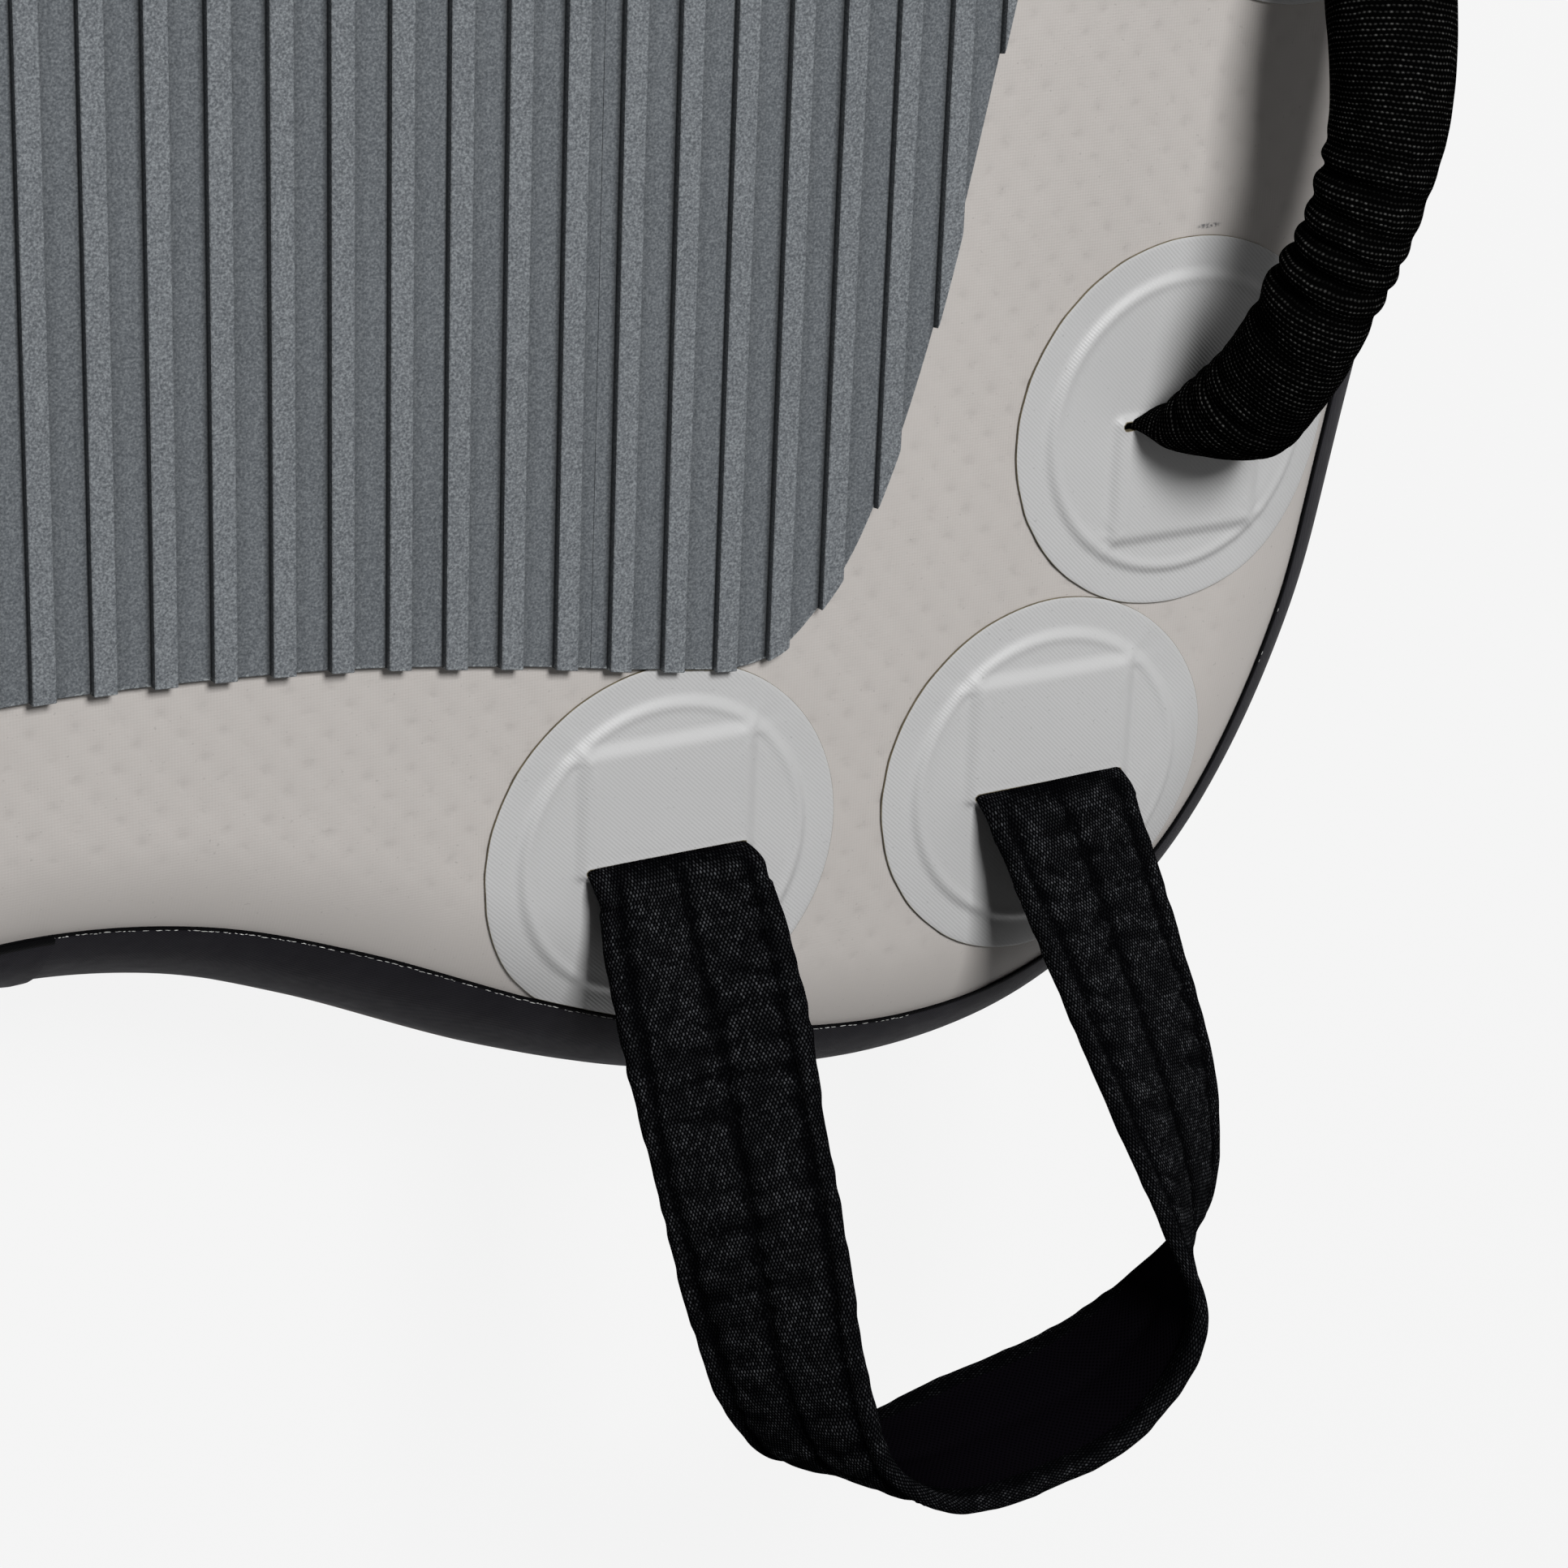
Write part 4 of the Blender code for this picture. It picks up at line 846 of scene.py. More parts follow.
def tube_piece(name, points, slot, body, replaced=(), looped=False, weave=None, marks=None, finish=None):
    """A piece from rings of points, its ends joined to each other where it is looped and closed where not.

    `weave` gives the metres along and round it for the cloth's pattern, with one more value where it closes.
    """
    rows, columns = points.shape[:2]
    faces, row, column = grid(rows, columns, looped)
    blocks, uv = [faces], None
    if weave:
        uv = [np.stack([weave[0][row], weave[1][column]], axis=2)]
    if not looped:
        end = np.arange(columns)[None, :]
        blocks += [end, end + (rows - 1) * columns]
        if weave:
            uv += [np.zeros((1, columns, 2))] * 2
    return make_piece(name, points.reshape(-1, 3), blocks, slot, body, replaced, uv, marks, finish)


def thread_piece(name, tubes, slot, body, finish):
    """One piece of many short tubes, each of a few rings."""
    tubes = np.asarray(tubes)
    count, stations, around = tubes.shape[:3]
    first = (np.arange(count) * stations * around)[:, None, None]
    sides = grid(stations, around)[0]
    caps = np.arange(around) + np.array([[0], [(stations - 1) * around]])
    blocks = [(sides + first).reshape(-1, 4), (caps + first).reshape(-1, around)]
    make_piece(name, tubes.reshape(-1, 3), blocks, slot, body, finish=finish)


def laid(stations, a, b):
    """Points this far across and this far out at each station."""
    centre, wide, outer = (field[:, None, :] for field in stations[:3])
    return centre + wide * a[..., None] + outer * b[..., None]


def fill(loops, inner):
    """Triangles over the region inside the first loop and outside the others, which are convex."""
    edges = []
    start = 0
    hole_of = np.full(sum(len(loop) for loop in loops) + len(inner), -1)
    for number, loop in enumerate(loops):
        count = len(loop)
        edges += [(start + k, start + (k + 1) % count) for k in range(count)]
        hole_of[start : start + count] = number
        start += count
    flat = [Vector(point) for point in np.vstack([*loops, inner])]
    found = delaunay_2d_cdt(flat, edges, [], 1, 1e-7)
    source = np.array([given[0] for given in found[3]])
    triangles = source[np.array(found[2], int)]
    owner = hole_of[triangles]
    in_hole = (owner[:, 0] > 0) & (owner[:, 0] == owner[:, 1]) & (owner[:, 1] == owner[:, 2])
    return triangles[~in_hole]


def slab(loops, fine, coarse, top, low):
    """A closed sheet: its upper face runs through the fine points, its lower one through the coarse ones.

    The mark that comes with it is 1 on its rims and its lower face.
    """
    rim = np.vstack(loops)
    above, below = np.vstack([rim, fine]), np.vstack([rim, coarse])
    points = np.vstack([np.column_stack([above, top(above)]), np.column_stack([below, low(below)])])
    offset = len(above)
    walls = []
    start = 0
    for loop in loops:
        k = start + np.arange(len(loop))
        n = start + (np.arange(len(loop)) + 1) % len(loop)
        walls.append(np.stack([k, n, n + offset, k + offset], axis=1))
        start += len(loop)
    wall_mark = np.zeros(len(points))
    wall_mark[: len(rim)] = 1
    wall_mark[offset:] = 1
    return points, [fill(loops, fine), fill(loops, coarse) + offset, *walls], wall_mark


def lattice(low, high, step_x, step_y, stagger=0.0):
    """Points of a grid over a box, with every second row shifted by a share of the step."""
    xs = np.arange(math.floor(low[0] / step_x), math.ceil(high[0] / step_x) + 1)
    ys = np.arange(math.floor(low[1] / step_y), math.ceil(high[1] / step_y) + 1)
    across, along = np.meshgrid(xs, ys)
    shift = np.where(along % 2 == 0, 0.0, stagger)
    return np.column_stack([((across + shift) * step_x).ravel(), (along * step_y).ravel()])


# Hull


def dimples(places, depth):
    """How deep the threads pull the skin in at each place."""
    total = np.zeros(len(places))
    for shift in (0.0, 0.5):
        across = (places[:, 0] / DIMPLE_PITCH + 0.5 + shift) % 1 - 0.5
        along = (places[:, 1] / (2 * DIMPLE_ROW) + 0.5 + shift) % 1 - 0.5
        square = (across * DIMPLE_PITCH) ** 2 + (along * 2 * DIMPLE_ROW) ** 2
        total += np.exp(-square / DIMPLE_RADIUS**2)
    return total * smooth(depth, *DIMPLE_FADE)


def skin(name, slot, step, covered=False):
    """Deck or bottom: a dimpled sheet that rolls off under the tape, coarse where the pad covers it.

    The bottom is the deck's sheet upside down.
    """
    edge = SEAM.points + SEAM.normals * SKIN_LAP
    low, high = edge.min(axis=0), edge.max(axis=0)
    places = lattice(low, high, *step)
    places = places[SEAM.depth(places) > -SKIN_LAP + 0.003]
    if covered:
        rough = lattice(low, high, 0.03, 0.03)
        places = np.vstack([places[PAD_LINE.depth(places) <= 0.008], rough[PAD_LINE.depth(rough) > 0.016]])
    coarse = lattice(low, high, 0.02, 0.02)
    coarse = coarse[SEAM.depth(coarse) > 0.003]
    depth = np.concatenate([np.full(len(edge), -SKIN_LAP), SEAM.depth(places)])

    def top(at):
        return deck_height(at, depth) - DIMPLE_DEPTH * dimples(at, depth)

    def under(at):
        return deck_height(at) - SKIN

    points, blocks, _ = slab([edge], places, coarse, top, under)
    inland = np.zeros(len(points))
    inland[: len(depth)] = smooth(depth, *DIMPLE_FADE)
    if slot == "bottom_fabric":
        rise = lift(points[:, 1])
        points[:, 2] = HULL_THICKNESS - (points[:, 2] - rise) + rise
    make_piece(name + "_fabric", points, blocks, slot, "hull", [name], marks={"inland": inland})


def swept(stations, angles, radii):
    """A section carried past stations of the seam: its angles from straight up, and its radii."""
    normals = SEAM.normals[stations]
    flat = SEAM.points[stations] - normals * FLAT_INSET
    reach = np.broadcast_to(radii, (len(stations), len(angles))) * np.sin(angles)
    points = np.empty((*reach.shape, 3))
    points[:, :, :2] = flat[:, None, :] + normals[:, None, :] * reach[:, :, None]
    points[:, :, 2] = RAIL_RADIUS + radii * np.cos(angles) + lift(points[:, :, 1])
    return points


def rail_wall(everywhere):
    """The hull's side under the tape."""
    one_way = np.radians(np.arange(33, 148, 6))
    angles = np.concatenate([one_way, one_way[::-1]])
    radii = np.repeat([RAIL_RADIUS - 0.00005, RAIL_RADIUS - SKIN], len(one_way))
    points = swept(everywhere, angles, radii)
    tube_piece("rail_wall_band", points, "bottom_fabric", "hull", ["rail_wall"], looped=True)


def tape_band(node, stations, outer, inner, looped=False):
    """The tape: its upper strip laps the lower one, both ripple a little, and its edges are rounded."""
    angles = np.radians(TAPE_ANGLES)
    at_edge = (angles <= angles[0]) | (angles >= angles[-1])
    lapped = angles < math.pi / 2 - TAPE_STEP / TAPE_OUTER
    radii = outer - TAPE_STRIP * at_edge + TAPE_STRIP * lapped - TAPE_STRIP
    share = np.arange(len(stations)) / len(stations)
    waves = 0.00022 * rumple(share[:, None] * 64, angles[None, :] * 8, 15)
    waves *= smooth(angles, 0.6, 0.8) * (1 - smooth(angles, 2.3, 2.5))
    back = np.radians([TAPE_ANGLES[-1], 120, 90, 60, TAPE_ANGLES[0]])
    section = np.concatenate([angles, back])
    radii = np.hstack([radii + waves, np.full((len(stations), len(back)), inner)])
    girth = outer * (math.pi / 2 - np.append(section, section[0]))
    weave = (np.arange(len(stations) + 1) * SEAM.step, girth)
    tube_piece(node + "_band", swept(stations, section, radii), "rail_tape", "hull", [node], looped, weave)


def thread_ends():
    """Ragged pale ends of thread along the tape's two edges, sparse round the hull's sides."""
    rng = np.random.default_rng(11)
    along = np.arange(len(SEAM.points)) * SEAM.step
    seam = np.hstack([SEAM.points, SEAM.normals])
    turn = np.linspace(0, 2 * math.pi, 5, endpoint=False)
    proud = TAPE_OUTER + 0.00003
    tubes = []
    for under in (-1, 1):
        place = 0.0
        while place < along[-1]:
            length = rng.uniform(0.0007, 0.0024)
            radius = rng.uniform(0.00006, 0.00013)
            offset = rng.uniform(-0.00022, 0.00022)
            beside = abs(np.interp(place, along, SEAM.points[:, 0])) > 0.287
            if not beside or rng.random() < 0.06:
                x, y, nx, ny = sampled(seam, along, np.linspace(place, place + length, 4)).T[:, :, None]
                angle = SEAM_ANGLE + (0.00065 + offset + rng.uniform(-0.00012, 0.00012, 4)) / TAPE_OUTER
                fat = radius * np.array([0.35, 1.0, 1.0, 0.35])[:, None]
                out = (proud * np.sin(angle) - FLAT_INSET)[:, None] + np.cos(turn) * fat
                rise = (proud * np.cos(angle))[:, None] + np.sin(turn) * fat
                px, py = x + nx * out, y + ny * out
                tubes.append(np.stack([px, py, RAIL_RADIUS - under * rise + lift(py)], axis=2))
            place += length + 0.0002 + rng.exponential(0.0006)
    thread_piece("rail_tape_thread_ends", tubes, "deck_fabric", "hull", "glue")


def rail():
    everywhere = np.arange(len(SEAM.points))
    x, y = SEAM.points.T
    lap = everywhere[(y < 0) & (x > OVERLAP_ENDS[0]) & (x < OVERLAP_ENDS[1])]
    tape_band("rail_tape", everywhere, TAPE_OUTER, TAPE_INNER, looped=True)
    tape_band("rail_tape_overlap", lap[np.argsort(x[lap])], OVERLAP_OUTER, TAPE_OUTER + 0.00005)
    thread_ends()
    rail_wall(everywhere)


# Deck pad


def rib_offset(x):
    """How far to starboard of its rib's middle each column lies."""
    return (np.asarray(x) - RIB_SHIFT + RIB_PITCH / 2) % RIB_PITCH - RIB_PITCH / 2


def rib_height(x):
    """The pad's upper face across its ribs."""
    stations = [0, RIB_HALF - RIB_BEVEL, RIB_HALF, RIB_FOOT, RIB_PITCH]
    heights = [PAD_TOP, PAD_TOP, PAD_TOP - RIB_BEVEL * 0.8, PAD_VALLEY, PAD_VALLEY]
    return np.interp(np.abs(rib_offset(x)), stations, heights)


def rib_shade(x):
    """How much painted shade each column gets: most on a rib's port wall, some in the corner to starboard of
    its foot.
    """
    stations = [-RIB_PITCH / 2, -RIB_FOOT - 0.0006, -RIB_FOOT, -RIB_HALF]
    stations += [RIB_HALF, RIB_FOOT, RIB_FOOT + 0.0018, RIB_PITCH / 2]
    return np.interp(rib_offset(x), stations, [0.06, 0.10, 1.0, 0.0, 0.0, 0.60, 0.26, 0.06])


def pad_columns(low, high):
    """Where the pad's mesh has lines along the ribs: at every edge of a rib, and where the outline turns."""
    ribs = np.arange(math.floor(low / RIB_PITCH) - 1, math.ceil(high / RIB_PITCH) + 2) * RIB_PITCH + RIB_SHIFT
    marks = [0, RIB_HALF - RIB_BEVEL, RIB_HALF, RIB_FOOT, RIB_FOOT + 0.0018, RIB_PITCH / 2 - 0.0001]
    at_ribs = np.concatenate([ribs + side * mark for mark in marks for side in (-1, 1)])
    xs = np.concatenate([at_ribs, PAD_LINE.points[::2, 0], [low, high]])
    xs = np.unique(np.round(xs[(xs >= low) & (xs <= high)], 6))
    exact = set(np.round(at_ribs, 6)) | {round(high, 6)}
    keep = [xs[0]]
    for x in xs[1:]:
        if x - keep[-1] > 0.0004 or round(x, 6) in exact:
            keep.append(x)
    return np.array(keep)


def pad_sheet(name, low, high):
    """One sheet: columns across it, each running from its aft edge over the top to its forward edge."""
    xs = pad_columns(low, high)
    aft, fore = pad_edge(xs), pad_edge(xs, 1)
    length = np.maximum(fore - aft, 0.0004)
    near = (0, 0.00025, 0.0012, 0.004, 0.012)
    rows = [aft + np.minimum(step, length * 0.04 * (k + 1) / 2) for k, step in enumerate(near)]
    start, stop = rows[-1], fore - (rows[-1] - aft)
    rows += [start + (stop - start) * share for share in np.linspace(0, 1, 26)[1:-1]]
    rows += [fore - (row - aft) for row in rows[: len(near)][::-1]]
    ys = np.array([aft, *rows, fore]).T
    zs = np.repeat(rib_height(xs)[:, None], ys.shape[1], axis=1)
    zs[:, [1, -2]] -= 0.0002
    zs[:, [0, -1]] = PAD_BASE
    cut = np.zeros_like(zs)
    cut[:, :3] = 1
    cut[:, -3:] = 1
    points = np.stack([np.repeat(xs[:, None], ys.shape[1], axis=1), ys, zs], axis=2)
    # The second mark carries the painted shade of the ribs' walls and corners to the foam's finish.
    marks = {"cut": cut, "rib_shade": np.repeat(rib_shade(xs)[:, None], zs.shape[1], axis=1)}
    sheet = tube_piece(name + "_sheet", points, "pad_foam", "hull", [name], marks=marks)


def pad():
    widest = PAD_LINE.points[:, 0].max() - 0.0002
    port_joint, starboard_joint = RIB_SHIFT - PAD_JOINT, RIB_SHIFT + PAD_JOINT
    pad_sheet("deck_pad_port", -widest, port_joint - PAD_GAP)
    pad_sheet("deck_pad_centre", port_joint + PAD_GAP, starboard_joint - PAD_GAP)
    pad_sheet("deck_pad_starboard", starboard_joint + PAD_GAP, widest)


# Patches


def patch_relief(local, tail, inboard):
    """How far the patch stands over its own sheet: the hidden disc's step, and the cloth over the tail."""
    across, along = local[:, 0], local[:, 1] * (tail or 1)
    radius = np.hypot(across, along)
    relief = PATCH_RAISE * (1 - smooth(radius, PATCH_RAISED_RADIUS - 0.0016, PATCH_RAISED_RADIUS + 0.0012))
    relief += 0.00045 * hill(radius, PATCH_RAISED_RADIUS - 0.0022, 0.0014)
    if not tail:
        return relief
    past_side = np.abs(np.where(across * inboard > 0, across / INBOARD_SHARE, across)) - TAIL_HALF
    past_slit = along + SLIT_SETBACK
    past_end = past_slit - TAIL_LENGTH
    before = np.maximum(-0.0005 - past_slit, 0) * 1.6
    away = np.sqrt(np.maximum(past_side, 0) ** 2 + np.maximum(past_end, 0) ** 2 + before**2)
    drape = 1 - smooth(away, 0.0, 0.0050)
    rim = hill(past_side, -0.0012, 0.0013) * (past_slit > 0)
    relief += TAIL_RISE * drape + 0.00016 * rim * drape
    outside = (past_side > -0.1 * TAIL_HALF) & (past_slit > 0)
    pull = np.exp(-np.hypot(past_side, past_end) / 0.009) * outside
    relief += 0.00018 * pull * np.cos(np.arctan2(past_end, past_side) * 7)
    return relief + 0.0003 * hill(past_slit, 0, 0.0016) * (past_side + TAIL_HALF < SLIT_HALF + 0.001)


def slit_outline(middle, inboard):
    """The slit's rim: two straight sides with round ends, its inboard half shorter on a handle."""
    bend = np.linspace(-math.pi / 2, math.pi / 2, 6)
    ends = np.column_stack([SLIT_HALF + SLIT_HALF_WIDTH * np.cos(bend), SLIT_HALF_WIDTH * np.sin(bend)])
    length = np.linspace(SLIT_HALF, -SLIT_HALF, 40)[1:-1]
    upper = np.column_stack([length, np.full(len(length), SLIT_HALF_WIDTH)])
    slit = np.vstack([ends, upper, -ends, -upper])
    slit[:, 0] *= np.where(slit[:, 0] * inboard > 0, INBOARD_SHARE, 1.0)
    return middle + slit, middle + slit * [1.03, 1.7]


def round_patch(node, centre, tail=0, under_pad=False, inboard=0):
    """A round patch that follows the deck; `tail` is 1 where the webbing's tail runs forward, -1 aft.

    `inboard` is the side on which a handle's slit stops short, -1 or 1.
    """
    centre = np.array(centre)
    middle = centre - np.array([0, tail * SLIT_SETBACK])
    turn = np.linspace(0, 2 * math.pi, 180, endpoint=False)
    circle = np.column_stack([np.cos(turn), np.sin(turn)])

    def clipped(places, least):
        places = SEAM.pushed_in(places, least)
        if under_pad:
            places[:, 1] = np.minimum(places[:, 1], pad_edge(places[:, 0]) - 0.0006)
        return places

    def spread(step_x, step_y, rim, seam, pad_gap, slit, share=1.0):
        """Points over the patch, at least these distances from its rim, the seam, the pad and the slit."""
        places = lattice(centre - PATCH_RADIUS, centre + PATCH_RADIUS, step_x, step_y, 0.5)
        kept = (np.linalg.norm(places - centre, axis=1) < PATCH_RADIUS - rim) & (SEAM.depth(places) > seam)
        if under_pad:
            kept &= places[:, 1] < pad_edge(places[:, 0]) - pad_gap
        if tail:
            across, along = (places - middle).T
            across = np.abs(across) / np.where(across * inboard > 0, share, 1.0)
            kept &= (across > SLIT_HALF + slit[0]) | (np.abs(along) > SLIT_HALF_WIDTH + slit[1])
        return places[kept]

    wobble = 0.00018 * wander(turn * 9, 5 + int(abs(centre[0]) * 1000)) * np.sin(turn / 2) ** 2
    loops = [clipped(centre + circle * (PATCH_RADIUS + wobble)[:, None], 0.0004)]
    rings = [clipped(centre + circle * (PATCH_RADIUS - inset), 0.0004 + inset) for inset in (0.00035, 0.0011)]
    if under_pad:
        rings = [ring[ring[:, 1] < pad_edge(ring[:, 0]) - 0.0010] for ring in rings]
    if tail:
        slit, lip = slit_outline(middle, inboard)
        loops.append(slit)
        rings.append(lip)
    places = spread(PATCH_GRAIN, PATCH_GRAIN * 0.87, 0.0018, 0.0022, 0.0018, (0.0022, 0.0007), INBOARD_SHARE)
    coarse = spread(0.004, 0.0035, 0.004, 0.004, 0.003, (0.003, 0.001))

    def top(at):
        local = at - centre
        rim = 0.00018 * (1 - smooth(PATCH_RADIUS - np.hypot(*local.T), 0.0, 0.0006))
        return deck_height(at) + PATCH_LOW + PATCH_SHEET + patch_relief(local, tail, inboard) - rim

    def under(at):
        return deck_height(at) + PATCH_LOW + 0.75 * patch_relief(at - centre, tail, inboard)

    points, blocks, wall = slab(loops, np.vstack([*rings, places]), coarse, top, under)
    make_piece(node + "_disc", points, blocks, "patch_fabric", "hull", [node], marks={"wall": wall})


def ribbon(name, stations, half_width, half_depth, body, replaced):
    """The flat webbing inside a strap or a sleeve; its half depth is given at each station."""
    a = np.array([-1.0, -0.5, 0.0, 0.5, 1.0, 1.0, 0.5, 0.0, -0.5, -1.0]) * half_width
    b = np.array([1.0] * 5 + [-1.0] * 5) * half_depth
    tube_piece(name, laid(stations, a[None, :], b), "webbing", body, [replaced])


def tail_slab(node, side, slit, tail):
    """The flat end of a handle's webbing, glued between the deck and its patch."""
    count = 8
    half = TAIL_HALF - 0.0012
    places = np.empty((count, 2))
    places[:, 0] = slit[0] + side * half * (1 - INBOARD_SHARE) / 2
    places[:, 1] = slit[1] + tail * np.linspace(0.0006, TAIL_LENGTH - 0.0012, count)
    centre = np.column_stack([places, deck_height(places) + PATCH_LOW + 0.0008])
    stations = (centre, np.tile([1.0, 0.0, 0.0], (count, 1)), np.tile([0.0, 0.0, 1.0], (count, 1)))
    half_width = half * (1 + INBOARD_SHARE) / 2
    ribbon(node + "_flat", stations, half_width, np.full((count, 1), 0.0007), "hull", node)


def patches(label, side):
    """The patches of one side's tail loop and handles, with the handles' webbing tails."""
    for end, place in (("inner", -LOOP_HALF_SPAN), ("outer", LOOP_HALF_SPAN)):
        centre = (side * (LOOP_MIDDLE + place), LOOP_ROOT_Y + SLIT_SETBACK)
        round_patch(f"tail_loop_{label}_{end}_patch", centre, 1, under_pad=end == "inner")
    for pair, ends in HANDLE_ENDS.items():
        for end, (x, y), tail in (("aft", ends[0], -1), ("forward", ends[1], 1)):
            node = f"{pair}_{label}_handle_{end}"
            round_patch(node + "_patch", (side * x, y + tail * SLIT_SETBACK), tail, inboard=-side)
            tail_slab(node + "_webbing_tail", side, (side * x, y), tail)


# Tail loops


def loop_stations(side):
    """Centre, direction across, outward normal and length at even steps of the strap, from slit to slit."""
    whole = spaced(spline([(*offset, *across) for offset, across in LOOP_ROUTE]), 900)
    place, across = whole[:, :3], whole[:, 3:]
    along = run_of(place)
    t = np.linspace(0, 1, 30)[:, None]
    bends = []
    for corner, far in ((place[0], LOOP_TURN), (place[-1], along[-1] - LOOP_TURN)):
        root = corner * [1, 1, 0] + np.array([0, 0, LOOP_SINK])
        bends.append(root * (1 - t) ** 2 + corner * 2 * t * (1 - t) + sampled(place, along, far) * t**2)
    inside = (along > LOOP_TURN) & (along < along[-1] - LOOP_TURN)
    centres = np.vstack([bends[0], place[inside], bends[1][::-1]])
    wide = np.vstack([np.tile(across[0], (30, 1)), across[inside], np.tile(across[-1], (30, 1))])
    both = spaced(np.hstack([centres, wide * 1e-4]), STRAP_STATIONS)
    out, aft, rise = both[:, :3].T
    centre = np.column_stack([side * (LOOP_MIDDLE + out), LOOP_ROOT_Y - aft, HULL_THICKNESS + rise])
    ahead = unit(np.gradient(centre, axis=0))
    wide = square_to(both[:, 3:] * [side, 1, 1], ahead)
    return centre, wide, unit(np.cross(ahead, wide) * side), run_of(centre)


def strap_padding(across):
    """The even fullness of the padded face."""
    return 0.0010 * (1 - smooth(np.abs(across), 0.012, 0.0235))


def strap_pillow(across, length, seed):
    """How far the padded face stands out: soft grooves that wander along it, and puckers that cross it."""
    shape = strap_padding(across)
    for number, (row, depth) in enumerate(STRAP_GROOVES):
        line = row + 0.0013 * wander(length / 0.031 + 17 * number, seed + number)
        shape = shape - depth * hill(across, line, 0.0019)
    lean = 0.45 * rumple(length / 0.024, across / 0.011 + 3, seed + 4)
    pucker = np.cos(2 * math.pi * (length / 0.0098 + lean))
    strength = 0.25 + 0.75 * smooth(rumple(length / 0.019, across / 0.012 + 7, seed + 5), -0.6, 0.6)
    away_from_edge = 1 - smooth(np.abs(across), 0.018, 0.023)
    shape = shape + 0.00045 * pucker * strength * away_from_edge
    return shape + 0.00016 * rumple(length / 0.0052, across / 0.0046 + 5, seed + 6) * away_from_edge


def strap_section():
    """Stations round the cover, from one binding's tip over the outer face to the other's.

    Each is the place across, the place out and the share of the face's relief.
    """
    tip, edge, low = STRAP_HALF - BINDING, STRAP_HALF - 0.0024, -STRAP_DEPTH
    half = [(-tip, low - 0.0001, 0.0), (-tip - 0.0004, low - 0.0005, 0.0)]
    half += [(-tip - 0.002, low - 0.0006, 0.0), (-STRAP_HALF + 0.0032, low - 0.0004, 0.0)]
    bend = np.linspace(0, math.pi, 11)[1:-1]
    half += [(-edge - 0.0024 * math.sin(t), low * math.cos(t), 0.35) for t in bend]
    face = [(a, STRAP_DEPTH, 1.0) for a in np.linspace(-STRAP_HALF + 0.0028, STRAP_HALF - 0.0028, 45)]
    return np.array([*half, *face, *[(-a, b, share) for a, b, share in half[::-1]]])


def tail_loop(label, side):
    """One loop: woven cover with bound edges, liner, webbing core and stitches."""
    node = f"tail_loop_{label}"
    seed = 21 if side > 0 else 41
    root = (0, LOOP_ROOT_Y, HULL_THICKNESS + 0.001)
    past_root = (0, LOOP_ROOT_Y - 0.012, HULL_THICKNESS + 0.012)
    body = ("hull", f"{label}_tail_loop", root, past_root)
    stations = loop_stations(side)
    length = stations[3]
    from_end = np.minimum(length, length[-1] - length)[:, None]
    thick = 0.36 + 0.64 * smooth(from_end, 0.0, 0.006)
    section = strap_section()
    a, b, share = section.T[:, None, :]
    relief = strap_pillow(a, length[:, None], seed) * share * smooth(from_end, 0.002, 0.012)
    edge_wave = 0.00035 * wander(length[:, None] / 0.0045, seed + 7) * smooth(np.abs(a), 0.018, 0.026)
    edge_wave = edge_wave * np.sign(a) * smooth(from_end, 0.004, 0.012)
    flare = 0.0034 * smooth(length, 0.001, 0.012) * (1 - smooth(length, 0.050, 0.100))
    across = a + edge_wave + flare[:, None] * smooth(a, 0.0, 0.026)
    inner = section[::-1][::3]
    lining_a = np.clip(inner[:, 0], -STRAP_HALF + STRAP_COVER, STRAP_HALF - STRAP_COVER)
    lining_b = inner[:, 1] - np.sign(inner[:, 1]) * (STRAP_COVER + 0.0004)
    lining = laid(stations, lining_a[None, :], lining_b[None, :] * thick)
    points = np.concatenate([laid(stations, across, b * thick + relief), lining], axis=1)
    # Painted sheen on the padded face's crests, painted shade in its grooves and down the bound edges, and a
    # fixed dim share on the lining.
    painted_sheen = np.full(points.shape[:2], 0.3)
    lit = smooth(relief - strap_padding(a) * share, -0.0007, 0.0001)
    painted_sheen[:, : len(section)] = np.where(share > 0.5, lit, share * 1.6)
    girth = run_of(section[:, :2])
    girth = np.concatenate([girth, np.linspace(girth[-1], 0, len(inner) + 1)])
    cover = tube_piece(
        node + "_strap",
        points,
        "woven_cover",
        body,
        [node + "_cover"],
        weave=(length, girth),
        marks={"painted_sheen": painted_sheen},
    )
    front = np.linspace(-1, 1, 21) * (STRAP_HALF - BINDING + 0.002)
    crease = 0.0006 * hill(front, 0, 0.0016) - 0.0004 * hill(np.abs(front), 0.009, 0.006)
    wave = 0.00022 * rumple(length[:, None] / 0.012, front[None, :] / 0.012 + 9, seed + 5)
    liner_a = np.concatenate([front, np.linspace(front[-1], front[0], 6)])
    back_b = np.repeat((-STRAP_DEPTH + 0.0017) * thick, 6, axis=1)
    liner_b = np.concatenate([(-STRAP_DEPTH + 0.0001 + crease[None, :] + wave) * thick, back_b], axis=1)
    liner = tube_piece(
        node + "_lining",
        laid(stations, liner_a[None, :], liner_b)[6:-6],
        "liner",
        body,
        [node + "_liner"],
        weave=(length[6:-6], np.append(liner_a, liner_a[0])),
    )
    ribbon(node + "_core", stations, 0.0205, 0.0010 * thick, body, node + "_webbing")
    strap_stitches(node, body, stations, seed)


